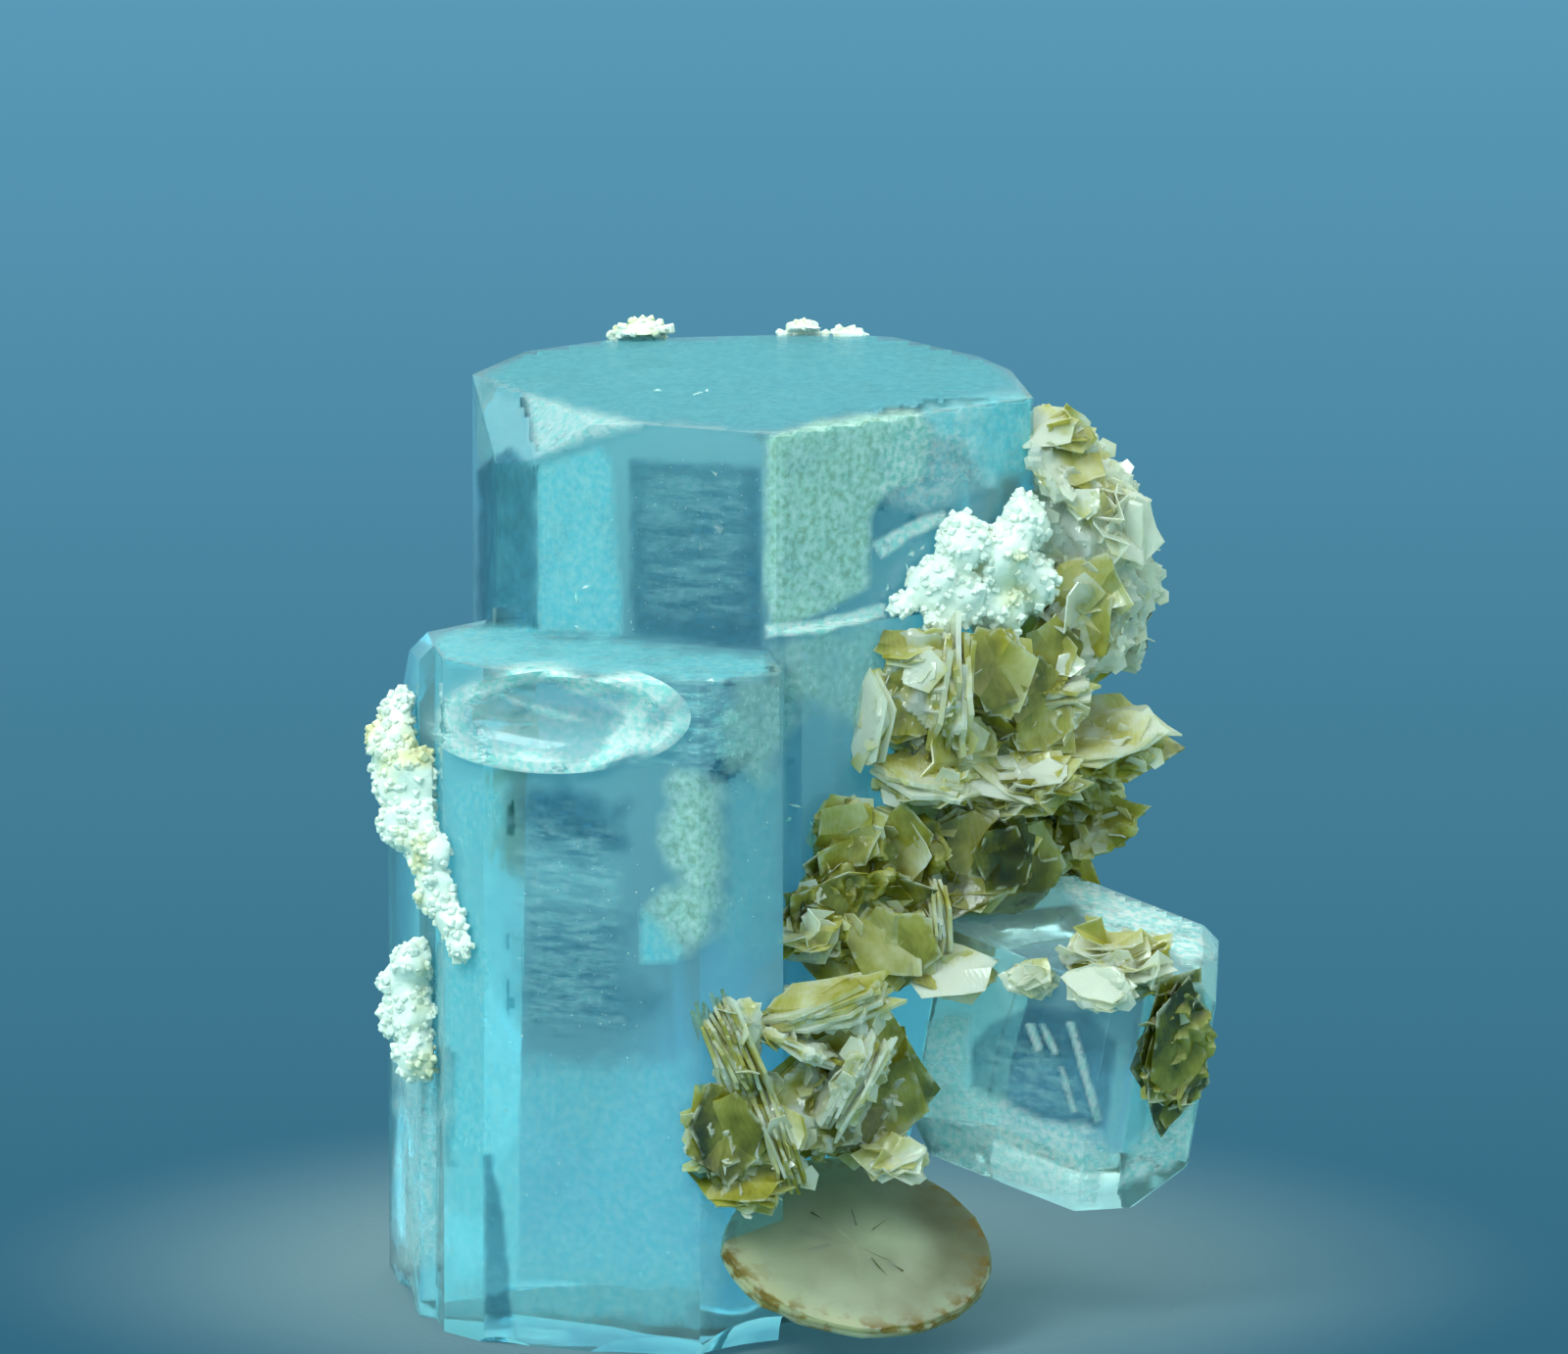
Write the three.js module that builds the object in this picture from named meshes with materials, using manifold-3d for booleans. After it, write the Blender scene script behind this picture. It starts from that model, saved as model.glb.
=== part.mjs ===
// Aquamarine specimen: two parallel beryl prisms grown into one crystal, a small leaning prism
// beside them, muscovite mica books along their right side, and white albite crusts.
//
// Millimetres, +Z up. The Z axis is the long axis of the tall prism, and z = 0 is the broken foot
// that the specimen stands on. The front is -Y. An azimuth is measured from the front towards +X.
import * as THREE from "three";
import { mergeVertices } from "three/addons/utils/BufferGeometryUtils.js";
import Module from "manifold-3d";

const wasm = await Module();
wasm.setup();

// Driving dimensions
const SEAM = 0.12; // clear seam between neighbouring minerals
const FINEST = 0.012; // smaller steps than this are smoothed away
const FRONT_FACE = -22; // azimuth of the prisms' front faces
const TALL_TOP = 18.4;
const FRONT_TOP = 13.92;
const LAYER_TOP = 14.35; // thin layer grown on the tall prism's right face
const PRISM_STEP = 30; // beryl's prism faces lie 60 degrees apart, with narrow ones halfway

// Distances of the prism faces from the Z axis, keyed by steps of 30 degrees from the front face.
const TALL_FACES = { 0: 4.85, 2: 4.52, 4: 5.4, 5: 5.65, 6: 6.2, 7: 5.7, 8: 6.0, 9: 5.86, 10: 5.55, 11: 5.63 };
const FRONT_FACES = { 0: 8.61, 2: 6.26, 4: -0.5, 6: 2.0, 8: 3.4, 10: 7.1, 11: 8.68 };
const LEFT_FACES = { 0: 6.84, 2: 0, 4: -3, 6: 2.0, 8: 4.9, 10: 7.4 };
const LAYER_FACES = { 0: 4.7, 2: 4.86, 4: 3.0, 6: 1.0, 8: 1.0 };

// The leaning prism has its own axis, and its face distances are measured from that.
const SIDE_CENTRE = [6.55, -3.45, 5.5];
const SIDE_LEAN = { forward: 11, right: 9 };
const SIDE_FRONT_FACE = -32;
const SIDE_HEIGHT = 4.9;
const SIDE_FACES = { 0: 2.5, 2: 2.9, 4: 2.55, 6: 2.75, 8: 2.7, 10: 3.1 };

const FINISH = {
  aquamarine: { color: 0x7cc6d6, roughness: 0.06, metalness: 0, transparent: true, opacity: 0.55 },
  muscovite: { color: 0x9c9a4a, roughness: 0.3, metalness: 0 },
  stained_muscovite: { color: 0x9a927a, roughness: 0.35, metalness: 0 },
  albite: { color: 0xe3ebdd, roughness: 0.7, metalness: 0 },
};

// Unit vector that points along an azimuth and an elevation in degrees.
function heading(azimuth, elevation = 0) {
  const a = THREE.MathUtils.degToRad(azimuth);
  const e = THREE.MathUtils.degToRad(elevation);
  return new THREE.Vector3(Math.sin(a) * Math.cos(e), -Math.cos(a) * Math.cos(e), Math.sin(e));
}

// A closed three.js geometry as a solid for joining and cutting.
function solidOf(geometry) {
  const bare = new THREE.BufferGeometry().setAttribute("position", geometry.getAttribute("position"));
  if (geometry.index) bare.setIndex(geometry.index);
  const merged = mergeVertices(bare, 1e-4);
  return new wasm.Manifold(
    new wasm.Mesh({
      numProp: 3,
      vertProperties: merged.attributes.position.array,
      triVerts: new Uint32Array(merged.index.array),
    }),
  );
}

function geometryOf(solid) {
  const mesh = solid.getMesh();
  const geometry = new THREE.BufferGeometry();
  geometry.setAttribute("position", new THREE.BufferAttribute(mesh.vertProperties, 3));
  geometry.setIndex(new THREE.BufferAttribute(mesh.triVerts, 1));
  const flat = geometry.toNonIndexed();
  flat.computeVertexNormals();
  return flat;
}

function joined(solids) {
  return solids.reduce((whole, solid) => whole.add(solid));
}

// The largest body of a solid, without the splinters that cutting can leave.
function mainBody(solid) {
  return solid.asOriginal().simplify(FINEST).decompose().sort((a, b) => b.volume() - a.volume())[0];
}

// Convex outline that keeps what lies inside every face: { steps: distance } from a centre.
function outline(faces, frontFace, grow) {
  const reach = 40;
  let corners = [
    new THREE.Vector2(-reach, -reach),
    new THREE.Vector2(reach, -reach),
    new THREE.Vector2(reach, reach),
    new THREE.Vector2(-reach, reach),
  ];
  for (const [step, distance] of Object.entries(faces)) {
    const n = heading(frontFace + PRISM_STEP * Number(step));
    const outside = (p) => p.x * n.x + p.y * n.y - distance - grow;
    const kept = [];
    corners.forEach((p, i) => {
      const q = corners[(i + 1) % corners.length];
      const [a, b] = [outside(p), outside(q)];
      if (a <= 0) kept.push(p);
      if (a * b < 0) kept.push(p.clone().lerp(q, a / (a - b)));
    });
    corners = kept;
  }
  return corners;
}

function prism(faces, frontFace, bottom, top, grow = 0) {
  const shape = new THREE.Shape(outline(faces, frontFace, grow));
  const geometry = new THREE.ExtrudeGeometry(shape, { depth: top - bottom + 2 * grow, bevelEnabled: false });
  return geometry.translate(0, 0, bottom - grow);
}

// A block that covers everything past a plane, for cutting a facet.
function pastPlane(point, azimuth, elevation) {
  const size = 60;
  const block = new THREE.BoxGeometry(size, size, size).translate(0, 0, size / 2);
  const turn = new THREE.Quaternion().setFromUnitVectors(new THREE.Vector3(0, 0, 1), heading(azimuth, elevation));
  return solidOf(block.applyQuaternion(turn).translate(...point));
}

// A flattened ball for shell-shaped chips. Its short axis lies along the heading.
function scoop(centre, azimuth, elevation, [wide, tall, deep]) {
  const ball = new THREE.SphereGeometry(1, 20, 10).scale(wide, deep, tall);
  const tilt = new THREE.Euler(THREE.MathUtils.degToRad(-elevation), 0, THREE.MathUtils.degToRad(azimuth), "ZXY");
  return solidOf(ball.applyQuaternion(new THREE.Quaternion().setFromEuler(tilt)).translate(...centre));
}

// The main crystal: tall prism, shorter front prism, its left step and a thin layer on the right.
function crystalPair(grow = 0) {
  const tall = solidOf(prism(TALL_FACES, FRONT_FACE, 0, TALL_TOP, grow))
    .subtract(pastPlane(lifted([-4.16, -2.03, TALL_TOP], grow, -64, 45), -64, 45))
    .subtract(pastPlane(lifted([5.55, 1.7, TALL_TOP - 0.25], grow, 112, 50), 112, 50))
    .subtract(pastPlane(lifted([5.4, -1.2, 12.2], grow, 92, -15), 92, -15));
  const front = joined([
    solidOf(prism(FRONT_FACES, FRONT_FACE, 0, FRONT_TOP, grow)),
    solidOf(prism(LEFT_FACES, FRONT_FACE, 0, FRONT_TOP, grow)),
  ])
    .subtract(pastPlane(lifted([-6.55, -4.5, FRONT_TOP], grow, -85, 42), -85, 42))
    .subtract(pastPlane(lifted([-6.0, -2.5, FRONT_TOP], grow, 228, 42), 228, 42));
  const layer = solidOf(prism(LAYER_FACES, FRONT_FACE, 0, LAYER_TOP, grow)).subtract(
    pastPlane(lifted([2.9, -3.2, 9.5], grow, 92, -15), 92, -15),
  );
  return joined([tall, front, layer]);
}

// A cutting plane's point, moved out along the plane's heading.
function lifted(point, grow, azimuth, elevation) {
  return new THREE.Vector3(...point).addScaledVector(heading(azimuth, elevation), grow).toArray();
}

// Chips: a long shell-shaped one under the front prism's top edge, and broken places at the foot.
function chipped(crystal) {
  const chips = [
    scoop([-4.05, -7.78, 13.02], FRONT_FACE, 0, [2.5, 0.92, 0.5]),
    scoop([-1.9, -9.0, -0.25], FRONT_FACE, -30, [2.3, 0.95, 0.8]),
    scoop([0.2, -7.9, -0.2], 38, -35, [1.9, 1.0, 0.8]),
    scoop([-5.0, -7.5, -0.35], -40, -35, [1.1, 0.6, 0.5]),
    scoop([-7.4, -2.6, -0.1], -82, -35, [1.6, 0.7, 0.5]),
    scoop([-2.6, 6.0, -0.2], 188, -35, [2.2, 1.0, 0.7]),
  ];
  return mainBody(chips.reduce((left, chip) => left.subtract(chip), crystal));
}

// The leaning prism, with its edges cut by narrow facets and a broken lower end.
function sideCrystal(grow = 0) {
  const half = SIDE_HEIGHT / 2;
  const upright = solidOf(prism(SIDE_FACES, SIDE_FRONT_FACE, -half, half, grow))
    .subtract(pastPlane(lifted([2.2, 0.9, half], grow, 88, 45), 88, 45))
    .subtract(pastPlane(lifted([1.0, 1.9, half], grow, 148, 45), 148, 45))
    .subtract(pastPlane(lifted([2.15, -0.6, -half], grow, 70, -42), 70, -42))
    .subtract(pastPlane(lifted([-2.6, 0, -half + 0.2], grow, -100, -40), -100, -40));
  const lean = new THREE.Euler(
    THREE.MathUtils.degToRad(SIDE_LEAN.forward),
    THREE.MathUtils.degToRad(SIDE_LEAN.right),
    0,
  );
  return solidOf(geometryOf(upright).applyQuaternion(new THREE.Quaternion().setFromEuler(lean)).translate(...SIDE_CENTRE));
}

// One mica book: a few flat sheets of uneven outline, stacked along the book's heading.
// turn rotates the outline in its own plane, and sides is the number of its corners.
function book({ at, azimuth, elevation, half, thick, turn = 0, sheets = 2, sides = 7, ragged = 0.16 }, grow) {
  const random = () => THREE.MathUtils.seededRandom();
  THREE.MathUtils.seededRandom(Math.round(1000 * (at[0] + 31 * at[1] + 57 * at[2])));
  const step = thick / sheets;
  const place = new THREE.Matrix4().makeBasis(
    heading(azimuth + 90),
    heading(azimuth, elevation + 90),
    heading(azimuth, elevation),
  );
  place.setPosition(...at);
  const stack = [];
  for (let sheet = 0; sheet < sheets; sheet++) {
    const shrink = 1 - 0.12 * random();
    const corners = [];
    for (let i = 0; i < sides; i++) {
      const angle = ((i + 0.5 * (random() - 0.5)) / sides) * 2 * Math.PI + THREE.MathUtils.degToRad(turn);
      const reach = shrink * (1 - ragged * random());
      corners.push(new THREE.Vector2(Math.cos(angle) * reach * half[0], Math.sin(angle) * reach * half[1]));
    }
    if (grow) corners.forEach((p) => p.setLength(p.length() + grow));
    const overlap = sheet ? 0.3 * step : 0;
    const depth = step + overlap + 2 * grow;
    const plate = new THREE.ExtrudeGeometry(new THREE.Shape(corners), { depth, bevelEnabled: false });
    plate.translate(0, 0, sheet * step - overlap - thick / 2 - grow).applyMatrix4(place);
    stack.push(solidOf(plate));
  }
  return joined(stack);
}

// One albite lump: a coarse ball with its corners pushed in and out.
function lump([x, y, z, radius], grow) {
  THREE.MathUtils.seededRandom(Math.round(1000 * (x + 17 * y + 43 * z)));
  const ball = mergeVertices(
    new THREE.BufferGeometry().setAttribute(
      "position",
      new THREE.IcosahedronGeometry(1, 1).getAttribute("position"),
    ),
  );
  const corners = ball.getAttribute("position");
  const corner = new THREE.Vector3();
  for (let i = 0; i < corners.count; i++) {
    const reach = radius * (0.8 + 0.4 * THREE.MathUtils.seededRandom()) + grow;
    corner.fromBufferAttribute(corners, i).setLength(reach);
    corners.setXYZ(i, corner.x, corner.y, corner.z);
  }
  return solidOf(ball.translate(x, y, z));
}

const BOOKS = {
  // curved leaves that wrap the tall prism's upper right side
  mica_crest: [
    { at: [6.5, 0.2, 15.2], azimuth: 85, elevation: 5, half: [2.0, 2.4], thick: 1.3, sheets: 3 },
    { at: [6.3, -0.9, 17.0], azimuth: 55, elevation: 38, half: [1.4, 1.2], thick: 0.35 },
    { at: [7.1, -1.0, 15.9], azimuth: 38, elevation: 20, half: [1.2, 1.3], thick: 0.4 },
    { at: [7.5, -0.2, 15.3], azimuth: 75, elevation: 15, half: [1.5, 1.9], thick: 0.5, sheets: 3 },
    { at: [7.55, 0.5, 13.9], azimuth: 96, elevation: 0, half: [1.7, 1.7], thick: 0.5 },
    { at: [6.7, -1.5, 13.9], azimuth: 25, elevation: 6, half: [1.35, 1.5], thick: 0.4 },
    { at: [6.5, 1.8, 16.3], azimuth: 112, elevation: 30, half: [1.7, 1.5], thick: 0.4 },
    { at: [6.7, 1.9, 13.5], azimuth: 122, elevation: -5, half: [1.7, 1.8], thick: 0.5, sheets: 3 },
  ],
  // upright books, some seen on their edges
  mica_sheaf: [
    { at: [2.9, -4.3, 12.8], azimuth: 2, elevation: 0, half: [0.9, 1.1], thick: 0.3 },
    { at: [3.75, -3.85, 12.6], azimuth: 80, elevation: 4, half: [0.95, 1.45], thick: 1.05, sheets: 4 },
    { at: [3.3, -4.25, 13.8], azimuth: -15, elevation: 25, half: [0.6, 0.55], thick: 0.22 },
    { at: [2.4, -4.7, 12.3], azimuth: -60, elevation: 5, half: [0.6, 1.05], thick: 0.3 },
    { at: [4.75, -3.2, 13.1], azimuth: 15, elevation: 10, half: [0.95, 0.95], thick: 0.35 },
  ],
  // plates that stand out to the right like shelves
  mica_shelf: [
    { at: [6.1, -0.6, 10.9], azimuth: 70, elevation: 35, half: [1.7, 1.7], thick: 1.0, sheets: 3 },
    { at: [4.5, -3.3, 11.3], azimuth: 36, elevation: 10, half: [2.2, 1.1], thick: 0.8, sheets: 3 },
    { at: [6.95, -1.6, 11.3], azimuth: 0, elevation: 70, half: [1.6, 1.35], thick: 0.32, turn: 10 },
    { at: [5.5, -3.2, 10.75], azimuth: 10, elevation: 74, half: [1.35, 1.05], thick: 0.38 },
    { at: [3.35, -4.6, 11.15], azimuth: -10, elevation: 66, half: [1.1, 0.8], thick: 0.34, sheets: 3 },
    { at: [6.75, -1.4, 9.5], azimuth: -20, elevation: 38, half: [1.3, 0.75], thick: 0.22, turn: 30, sides: 6 },
    { at: [5.6, -2.6, 12.2], azimuth: 20, elevation: 12, half: [1.1, 1.15], thick: 0.5, sheets: 3 },
    { at: [6.6, 1.5, 10.4], azimuth: 112, elevation: 20, half: [1.6, 1.5], thick: 0.5, sheets: 3 },
  ],
  // broad olive leaves across the middle
  mica_fold: [
    { at: [4.9, -2.5, 8.7], azimuth: 40, elevation: 5, half: [1.5, 1.6], thick: 0.9, sheets: 3 },
    { at: [2.7, -4.75, 9.1], azimuth: 30, elevation: 6, half: [2.3, 1.5], thick: 0.8, sheets: 3 },
    { at: [1.65, -5.9, 8.6], azimuth: 30, elevation: 10, half: [1.5, 1.0], thick: 0.7 },
    { at: [6.0, -0.7, 9.1], azimuth: 72, elevation: 8, half: [2.0, 0.9], thick: 0.7, sheets: 3 },
    { at: [4.2, -4.0, 9.4], azimuth: 5, elevation: 5, half: [1.6, 1.15], thick: 0.4 },
    { at: [3.0, -4.75, 9.8], azimuth: -15, elevation: 10, half: [1.15, 0.95], thick: 0.3 },
    { at: [1.85, -5.35, 10.0], azimuth: -5, elevation: 2, half: [1.05, 0.9], thick: 0.28 },
    { at: [1.05, -6.4, 8.5], azimuth: -20, elevation: 35, half: [0.95, 0.7], thick: 0.3 },
    { at: [2.9, -5.4, 8.1], azimuth: 10, elevation: 15, half: [1.1, 0.9], thick: 0.36 },
    { at: [1.95, -5.75, 9.05], azimuth: 0, elevation: -20, half: [1.15, 0.7], thick: 0.3 },
    { at: [4.1, -5.1, 7.4], azimuth: 10, elevation: 30, half: [1.05, 0.8], thick: 0.3 },
    { at: [6.3, 0.9, 7.9], azimuth: 95, elevation: 25, half: [1.8, 1.4], thick: 0.5, sheets: 3 },
  ],
  // crossed books seen mostly on their edges, with broad leaves behind them
  mica_rosette: [
    { at: [1.9, -6.6, 5.2], azimuth: 8, elevation: 5, half: [1.6, 1.7], thick: 0.45, sheets: 3 },
    { at: [1.2, -7.3, 5.0], azimuth: 30, elevation: 10, half: [1.1, 1.2], thick: 0.9, sheets: 2 },
    { at: [-0.4, -8.3, 6.2], azimuth: 72, elevation: -6, half: [0.7, 1.3], thick: 0.75, sheets: 4 },
    { at: [1.35, -7.6, 7.05], azimuth: -8, elevation: 76, half: [1.55, 0.75], thick: 0.48, turn: 6, sheets: 3 },
    { at: [0.8, -7.95, 6.4], azimuth: 75, elevation: 66, half: [0.8, 1.1], thick: 0.22 },
    { at: [1.9, -7.75, 5.7], azimuth: 77, elevation: -27, half: [0.8, 1.25], thick: 0.38, sheets: 3 },
    { at: [2.3, -7.7, 5.45], azimuth: 77, elevation: -27, half: [0.7, 1.15], thick: 0.2 },
    { at: [-0.55, -8.7, 4.7], azimuth: 20, elevation: 10, half: [1.05, 1.3], thick: 0.3 },
    { at: [0.45, -8.1, 4.5], azimuth: 78, elevation: 17, half: [0.7, 1.35], thick: 0.55, sheets: 3 },
    { at: [-0.2, -8.6, 3.6], azimuth: 20, elevation: 45, half: [1.1, 0.75], thick: 0.28 },
    { at: [2.75, -7.2, 3.9], azimuth: 0, elevation: 60, half: [0.85, 0.7], thick: 0.24 },
  ],
  // one large round plate near the foot
  mica_disc: [
    { at: [2.0, -7.55, 2.12], azimuth: 24, elevation: 56, half: [2.9, 2.5], thick: 0.36, sheets: 3, sides: 16, ragged: 0.07 },
  ],
  // leaves on the leaning prism's front top edge
  mica_cap: [
    { at: [6.9, -6.75, 7.25], azimuth: -15, elevation: 30, half: [0.8, 0.6], thick: 0.24 },
    { at: [7.8, -6.3, 7.5], azimuth: 25, elevation: 45, half: [0.85, 0.7], thick: 0.26 },
    { at: [7.25, -6.1, 7.85], azimuth: 0, elevation: 75, half: [1.25, 0.6], thick: 0.3 },
  ],
  // leaf on the leaning prism's right face
  mica_flank: [
    { at: [8.5, -6.1, 5.9], azimuth: 30, elevation: -12, half: [0.9, 1.6], thick: 0.4, sheets: 3 },
  ],
};

const LUMPS = {
  // along the groove between the front prism and its left step
  albite_strip: [
    [-7.15, -4.1, 12.4, 0.5],
    [-7.2, -4.4, 11.7, 0.7],
    [-6.9, -5.0, 11.2, 0.75],
    [-6.85, -5.1, 10.4, 0.8],
    [-6.35, -5.9, 9.9, 0.65],
    [-6.3, -6.0, 9.2, 0.6],
    [-6.0, -6.4, 8.6, 0.5],
    [-5.85, -6.65, 8.1, 0.4],
  ],
  // smaller crust lower in the same groove
  albite_knot: [
    [-6.95, -5.1, 7.5, 0.46],
    [-7.1, -4.8, 6.95, 0.55],
    [-7.0, -5.0, 6.3, 0.6],
    [-6.8, -5.4, 5.6, 0.48],
  ],
  // granular crust on the tall prism's right face
  albite_patch: [
    [3.5, -3.35, 14.9, 0.55],
    [4.2, -2.85, 15.7, 0.6],
    [4.1, -2.95, 14.6, 0.65],
    [4.9, -2.35, 15.3, 0.72],
    [5.4, -1.9, 15.9, 0.6],
    [4.9, -2.5, 14.3, 0.6],
    [5.6, -1.85, 14.7, 0.62],
    [3.6, -3.4, 14.1, 0.42],
    [2.9, -3.75, 14.5, 0.36],
  ],
  // crusts on the back faces that reach over the top edge
  albite_back_left: [
    [-2.35, 5.45, 18.15, 0.68],
    [-2.7, 5.4, 17.3, 0.6],
    [-2.2, 5.5, 16.6, 0.5],
    [-3.1, 5.2, 16.7, 0.4],
  ],
  albite_back_right: [
    [0.95, 6.0, 18.1, 0.58],
    [1.75, 6.0, 17.95, 0.6],
    [1.5, 6.05, 17.2, 0.66],
    [2.2, 5.95, 16.6, 0.6],
    [1.9, 6.0, 15.9, 0.5],
  ],
};

// A cluster's pieces joined into one solid. A grown copy is SEAM larger all round.
const mica = (name, grow = 0) => joined(BOOKS[name].map((row) => book(row, grow)));
const albite = (name, grow = 0) => joined(LUMPS[name].map((row) => lump(row, grow)));

// Minerals in order of growth. Each one keeps a seam to those before it.
const minerals = [
  { name: "crystal_pair", finish: "aquamarine", make: crystalPair, trim: chipped },
  { name: "side_crystal", finish: "aquamarine", make: sideCrystal },
  ...Object.keys(LUMPS).map((name) => ({
    name,
    finish: "albite",
    make: (grow) => albite(name, grow),
  })),
  ...Object.keys(BOOKS).map((name) => ({
    name,
    finish: name === "mica_disc" ? "stained_muscovite" : "muscovite",
    make: (grow) => mica(name, grow),
  })),
];

const specimen = new THREE.Group();
specimen.name = "aquamarine_specimen";
const belowFoot = pastPlane([0, 0, 0], 0, -90);
let grown = belowFoot;
for (const { name, finish, make, trim } of minerals) {
  const whole = mainBody(make(0).subtract(grown));
  const mesh = new THREE.Mesh(
    geometryOf(trim ? trim(whole) : whole),
    new THREE.MeshStandardMaterial(FINISH[finish]),
  );
  mesh.name = name;
  specimen.add(mesh);
  grown = grown.add(make(SEAM));
}

export default specimen;
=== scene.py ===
"""Aquamarine specimen: clear beryl prisms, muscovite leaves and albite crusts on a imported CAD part.

Metres, +Z up, in the frame of the CAD part. Tables are in millimetres. The front is -Y, and an
azimuth is measured from the front towards +X, as in the part's source.
"""
import math
import random

import bpy
from mathutils import Euler, Matrix, Vector, noise


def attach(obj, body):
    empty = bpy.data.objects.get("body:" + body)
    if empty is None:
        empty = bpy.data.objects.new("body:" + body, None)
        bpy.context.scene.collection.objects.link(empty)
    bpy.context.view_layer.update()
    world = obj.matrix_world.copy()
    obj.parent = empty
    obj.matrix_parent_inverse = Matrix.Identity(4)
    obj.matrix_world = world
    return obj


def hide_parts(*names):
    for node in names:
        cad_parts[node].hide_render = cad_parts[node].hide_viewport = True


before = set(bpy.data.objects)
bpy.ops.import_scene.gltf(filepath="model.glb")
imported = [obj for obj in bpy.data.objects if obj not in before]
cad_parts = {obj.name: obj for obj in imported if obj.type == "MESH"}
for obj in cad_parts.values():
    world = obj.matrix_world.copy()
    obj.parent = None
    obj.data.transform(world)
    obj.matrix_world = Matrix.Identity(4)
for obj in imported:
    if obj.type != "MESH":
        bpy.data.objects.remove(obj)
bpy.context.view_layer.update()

bl_info = {
    "name": "Aquamarine specimen",
    "version": (1, 0, 0),
    "blender": (4, 5, 0),
    "location": "3D View > Sidebar > Specimen",
    "description": "Builds the looks of an aquamarine specimen around its CAD part",
    "category": "Object",
}

MM = 0.001
BODY = "root"
VOXEL = 0.09 * MM  # of the meshes that the crusts and the mica masses are remade in


# Colours and shader nodes


def linear(colour, alpha=1.0):
    """sRGB hex text as a linear colour."""
    parts = [int(colour[i : i + 2], 16) / 255 for i in (1, 3, 5)]
    return (*[c / 12.92 if c <= 0.04045 else ((c + 0.055) / 1.055) ** 2.4 for c in parts], alpha)


def add(tree, kind, inputs=None, stops=None, **settings):
    """Adds one shader node. Inputs take values or other nodes' sockets, and a ramp takes its stops."""
    made = tree.nodes.new("ShaderNode" + kind)
    for name, value in settings.items():
        setattr(made, name, value)
    for name, value in (inputs or {}).items():
        if isinstance(value, bpy.types.NodeSocket):
            tree.links.new(value, made.inputs[name])
        else:
            made.inputs[name].default_value = value
    if stops:
        elements = made.color_ramp.elements
        while len(elements) < len(stops):
            elements.new(0.5)
        for element, (place, colour) in zip(elements, stops):
            element.position = place
            element.color = linear(colour)
    return made


def new_material(name):
    """An empty node material and its tree."""
    material = bpy.data.materials.new(name)
    material.use_nodes = True
    material.node_tree.nodes.clear()
    return material, material.node_tree


# Modelling helpers


def only(obj):
    """Selects one object and makes it active."""
    if bpy.context.object and bpy.context.object.mode != "OBJECT":
        bpy.ops.object.mode_set(mode="OBJECT")
    bpy.ops.object.select_all(action="DESELECT")
    obj.select_set(True)
    bpy.context.view_layer.objects.active = obj


def edit(obj):
    """Opens an object in edit mode with everything selected."""
    only(obj)
    bpy.ops.object.mode_set(mode="EDIT")
    bpy.ops.mesh.select_all(action="SELECT")


def done():
    """Leaves edit mode."""
    bpy.ops.object.mode_set(mode="OBJECT")


def modify(obj, kind, **settings):
    """Adds a modifier, sets it and applies it."""
    only(obj)
    modifier = obj.modifiers.new(kind.title(), kind)
    for name, value in settings.items():
        setattr(modifier, name, value)
    bpy.ops.object.modifier_apply(modifier=modifier.name)


def copy_of(node, piece):
    """A merged copy of a CAD node's mesh as a new object."""
    obj = bpy.data.objects.new(piece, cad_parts[node].data.copy())
    bpy.context.scene.collection.objects.link(obj)
    obj.data.materials.clear()
    edit(obj)
    bpy.ops.mesh.remove_doubles(threshold=1e-6)
    done()
    return obj


def finish_piece(obj, material, slot, *nodes):
    """Gives a piece its material and body, and hides the CAD nodes it stands for. The slot is not used."""
    obj.data.materials.clear()
    obj.data.materials.append(material)
    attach(obj, BODY)
    if nodes:
        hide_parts(*nodes)
    return obj


def heading(azimuth, elevation):
    """The direction of an azimuth and an elevation in degrees."""
    a, e = math.radians(azimuth), math.radians(elevation)
    return Vector((math.sin(a) * math.cos(e), -math.cos(a) * math.cos(e), math.sin(e)))


def facing(at, azimuth, elevation, turn=0.0):
    """A frame whose Z axis lies along a heading, at a place in millimetres."""
    z = heading(azimuth, elevation)
    x = heading(azimuth + 90, 0)
    y = z.cross(x)
    basis = Matrix((x, y, z)).transposed().to_4x4()
    return Matrix.Translation(Vector(at) * MM) @ basis @ Matrix.Rotation(math.radians(turn), 4, "Z")


def join(parts, name):
    """Joins objects into the first of them and names it."""
    bpy.ops.object.select_all(action="DESELECT")
    for part in parts:
        part.select_set(True)
    bpy.context.view_layer.objects.active = parts[0]
    bpy.ops.object.join()
    parts[0].name = name
    parts[0].data.name = name
    return parts[0]


def set_values(mesh, name, values):
    """Stores one number for each vertex under an attribute's name."""
    layer = mesh.attributes.get(name) or mesh.attributes.new(name, "FLOAT", "POINT")
    layer.data.foreach_set("value", values)


def new_primitive(kind, **settings):
    """Adds a primitive with nothing else selected."""
    bpy.ops.object.select_all(action="DESELECT")
    getattr(bpy.ops.mesh, f"primitive_{kind}_add")(**settings)
    return bpy.context.object


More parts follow.
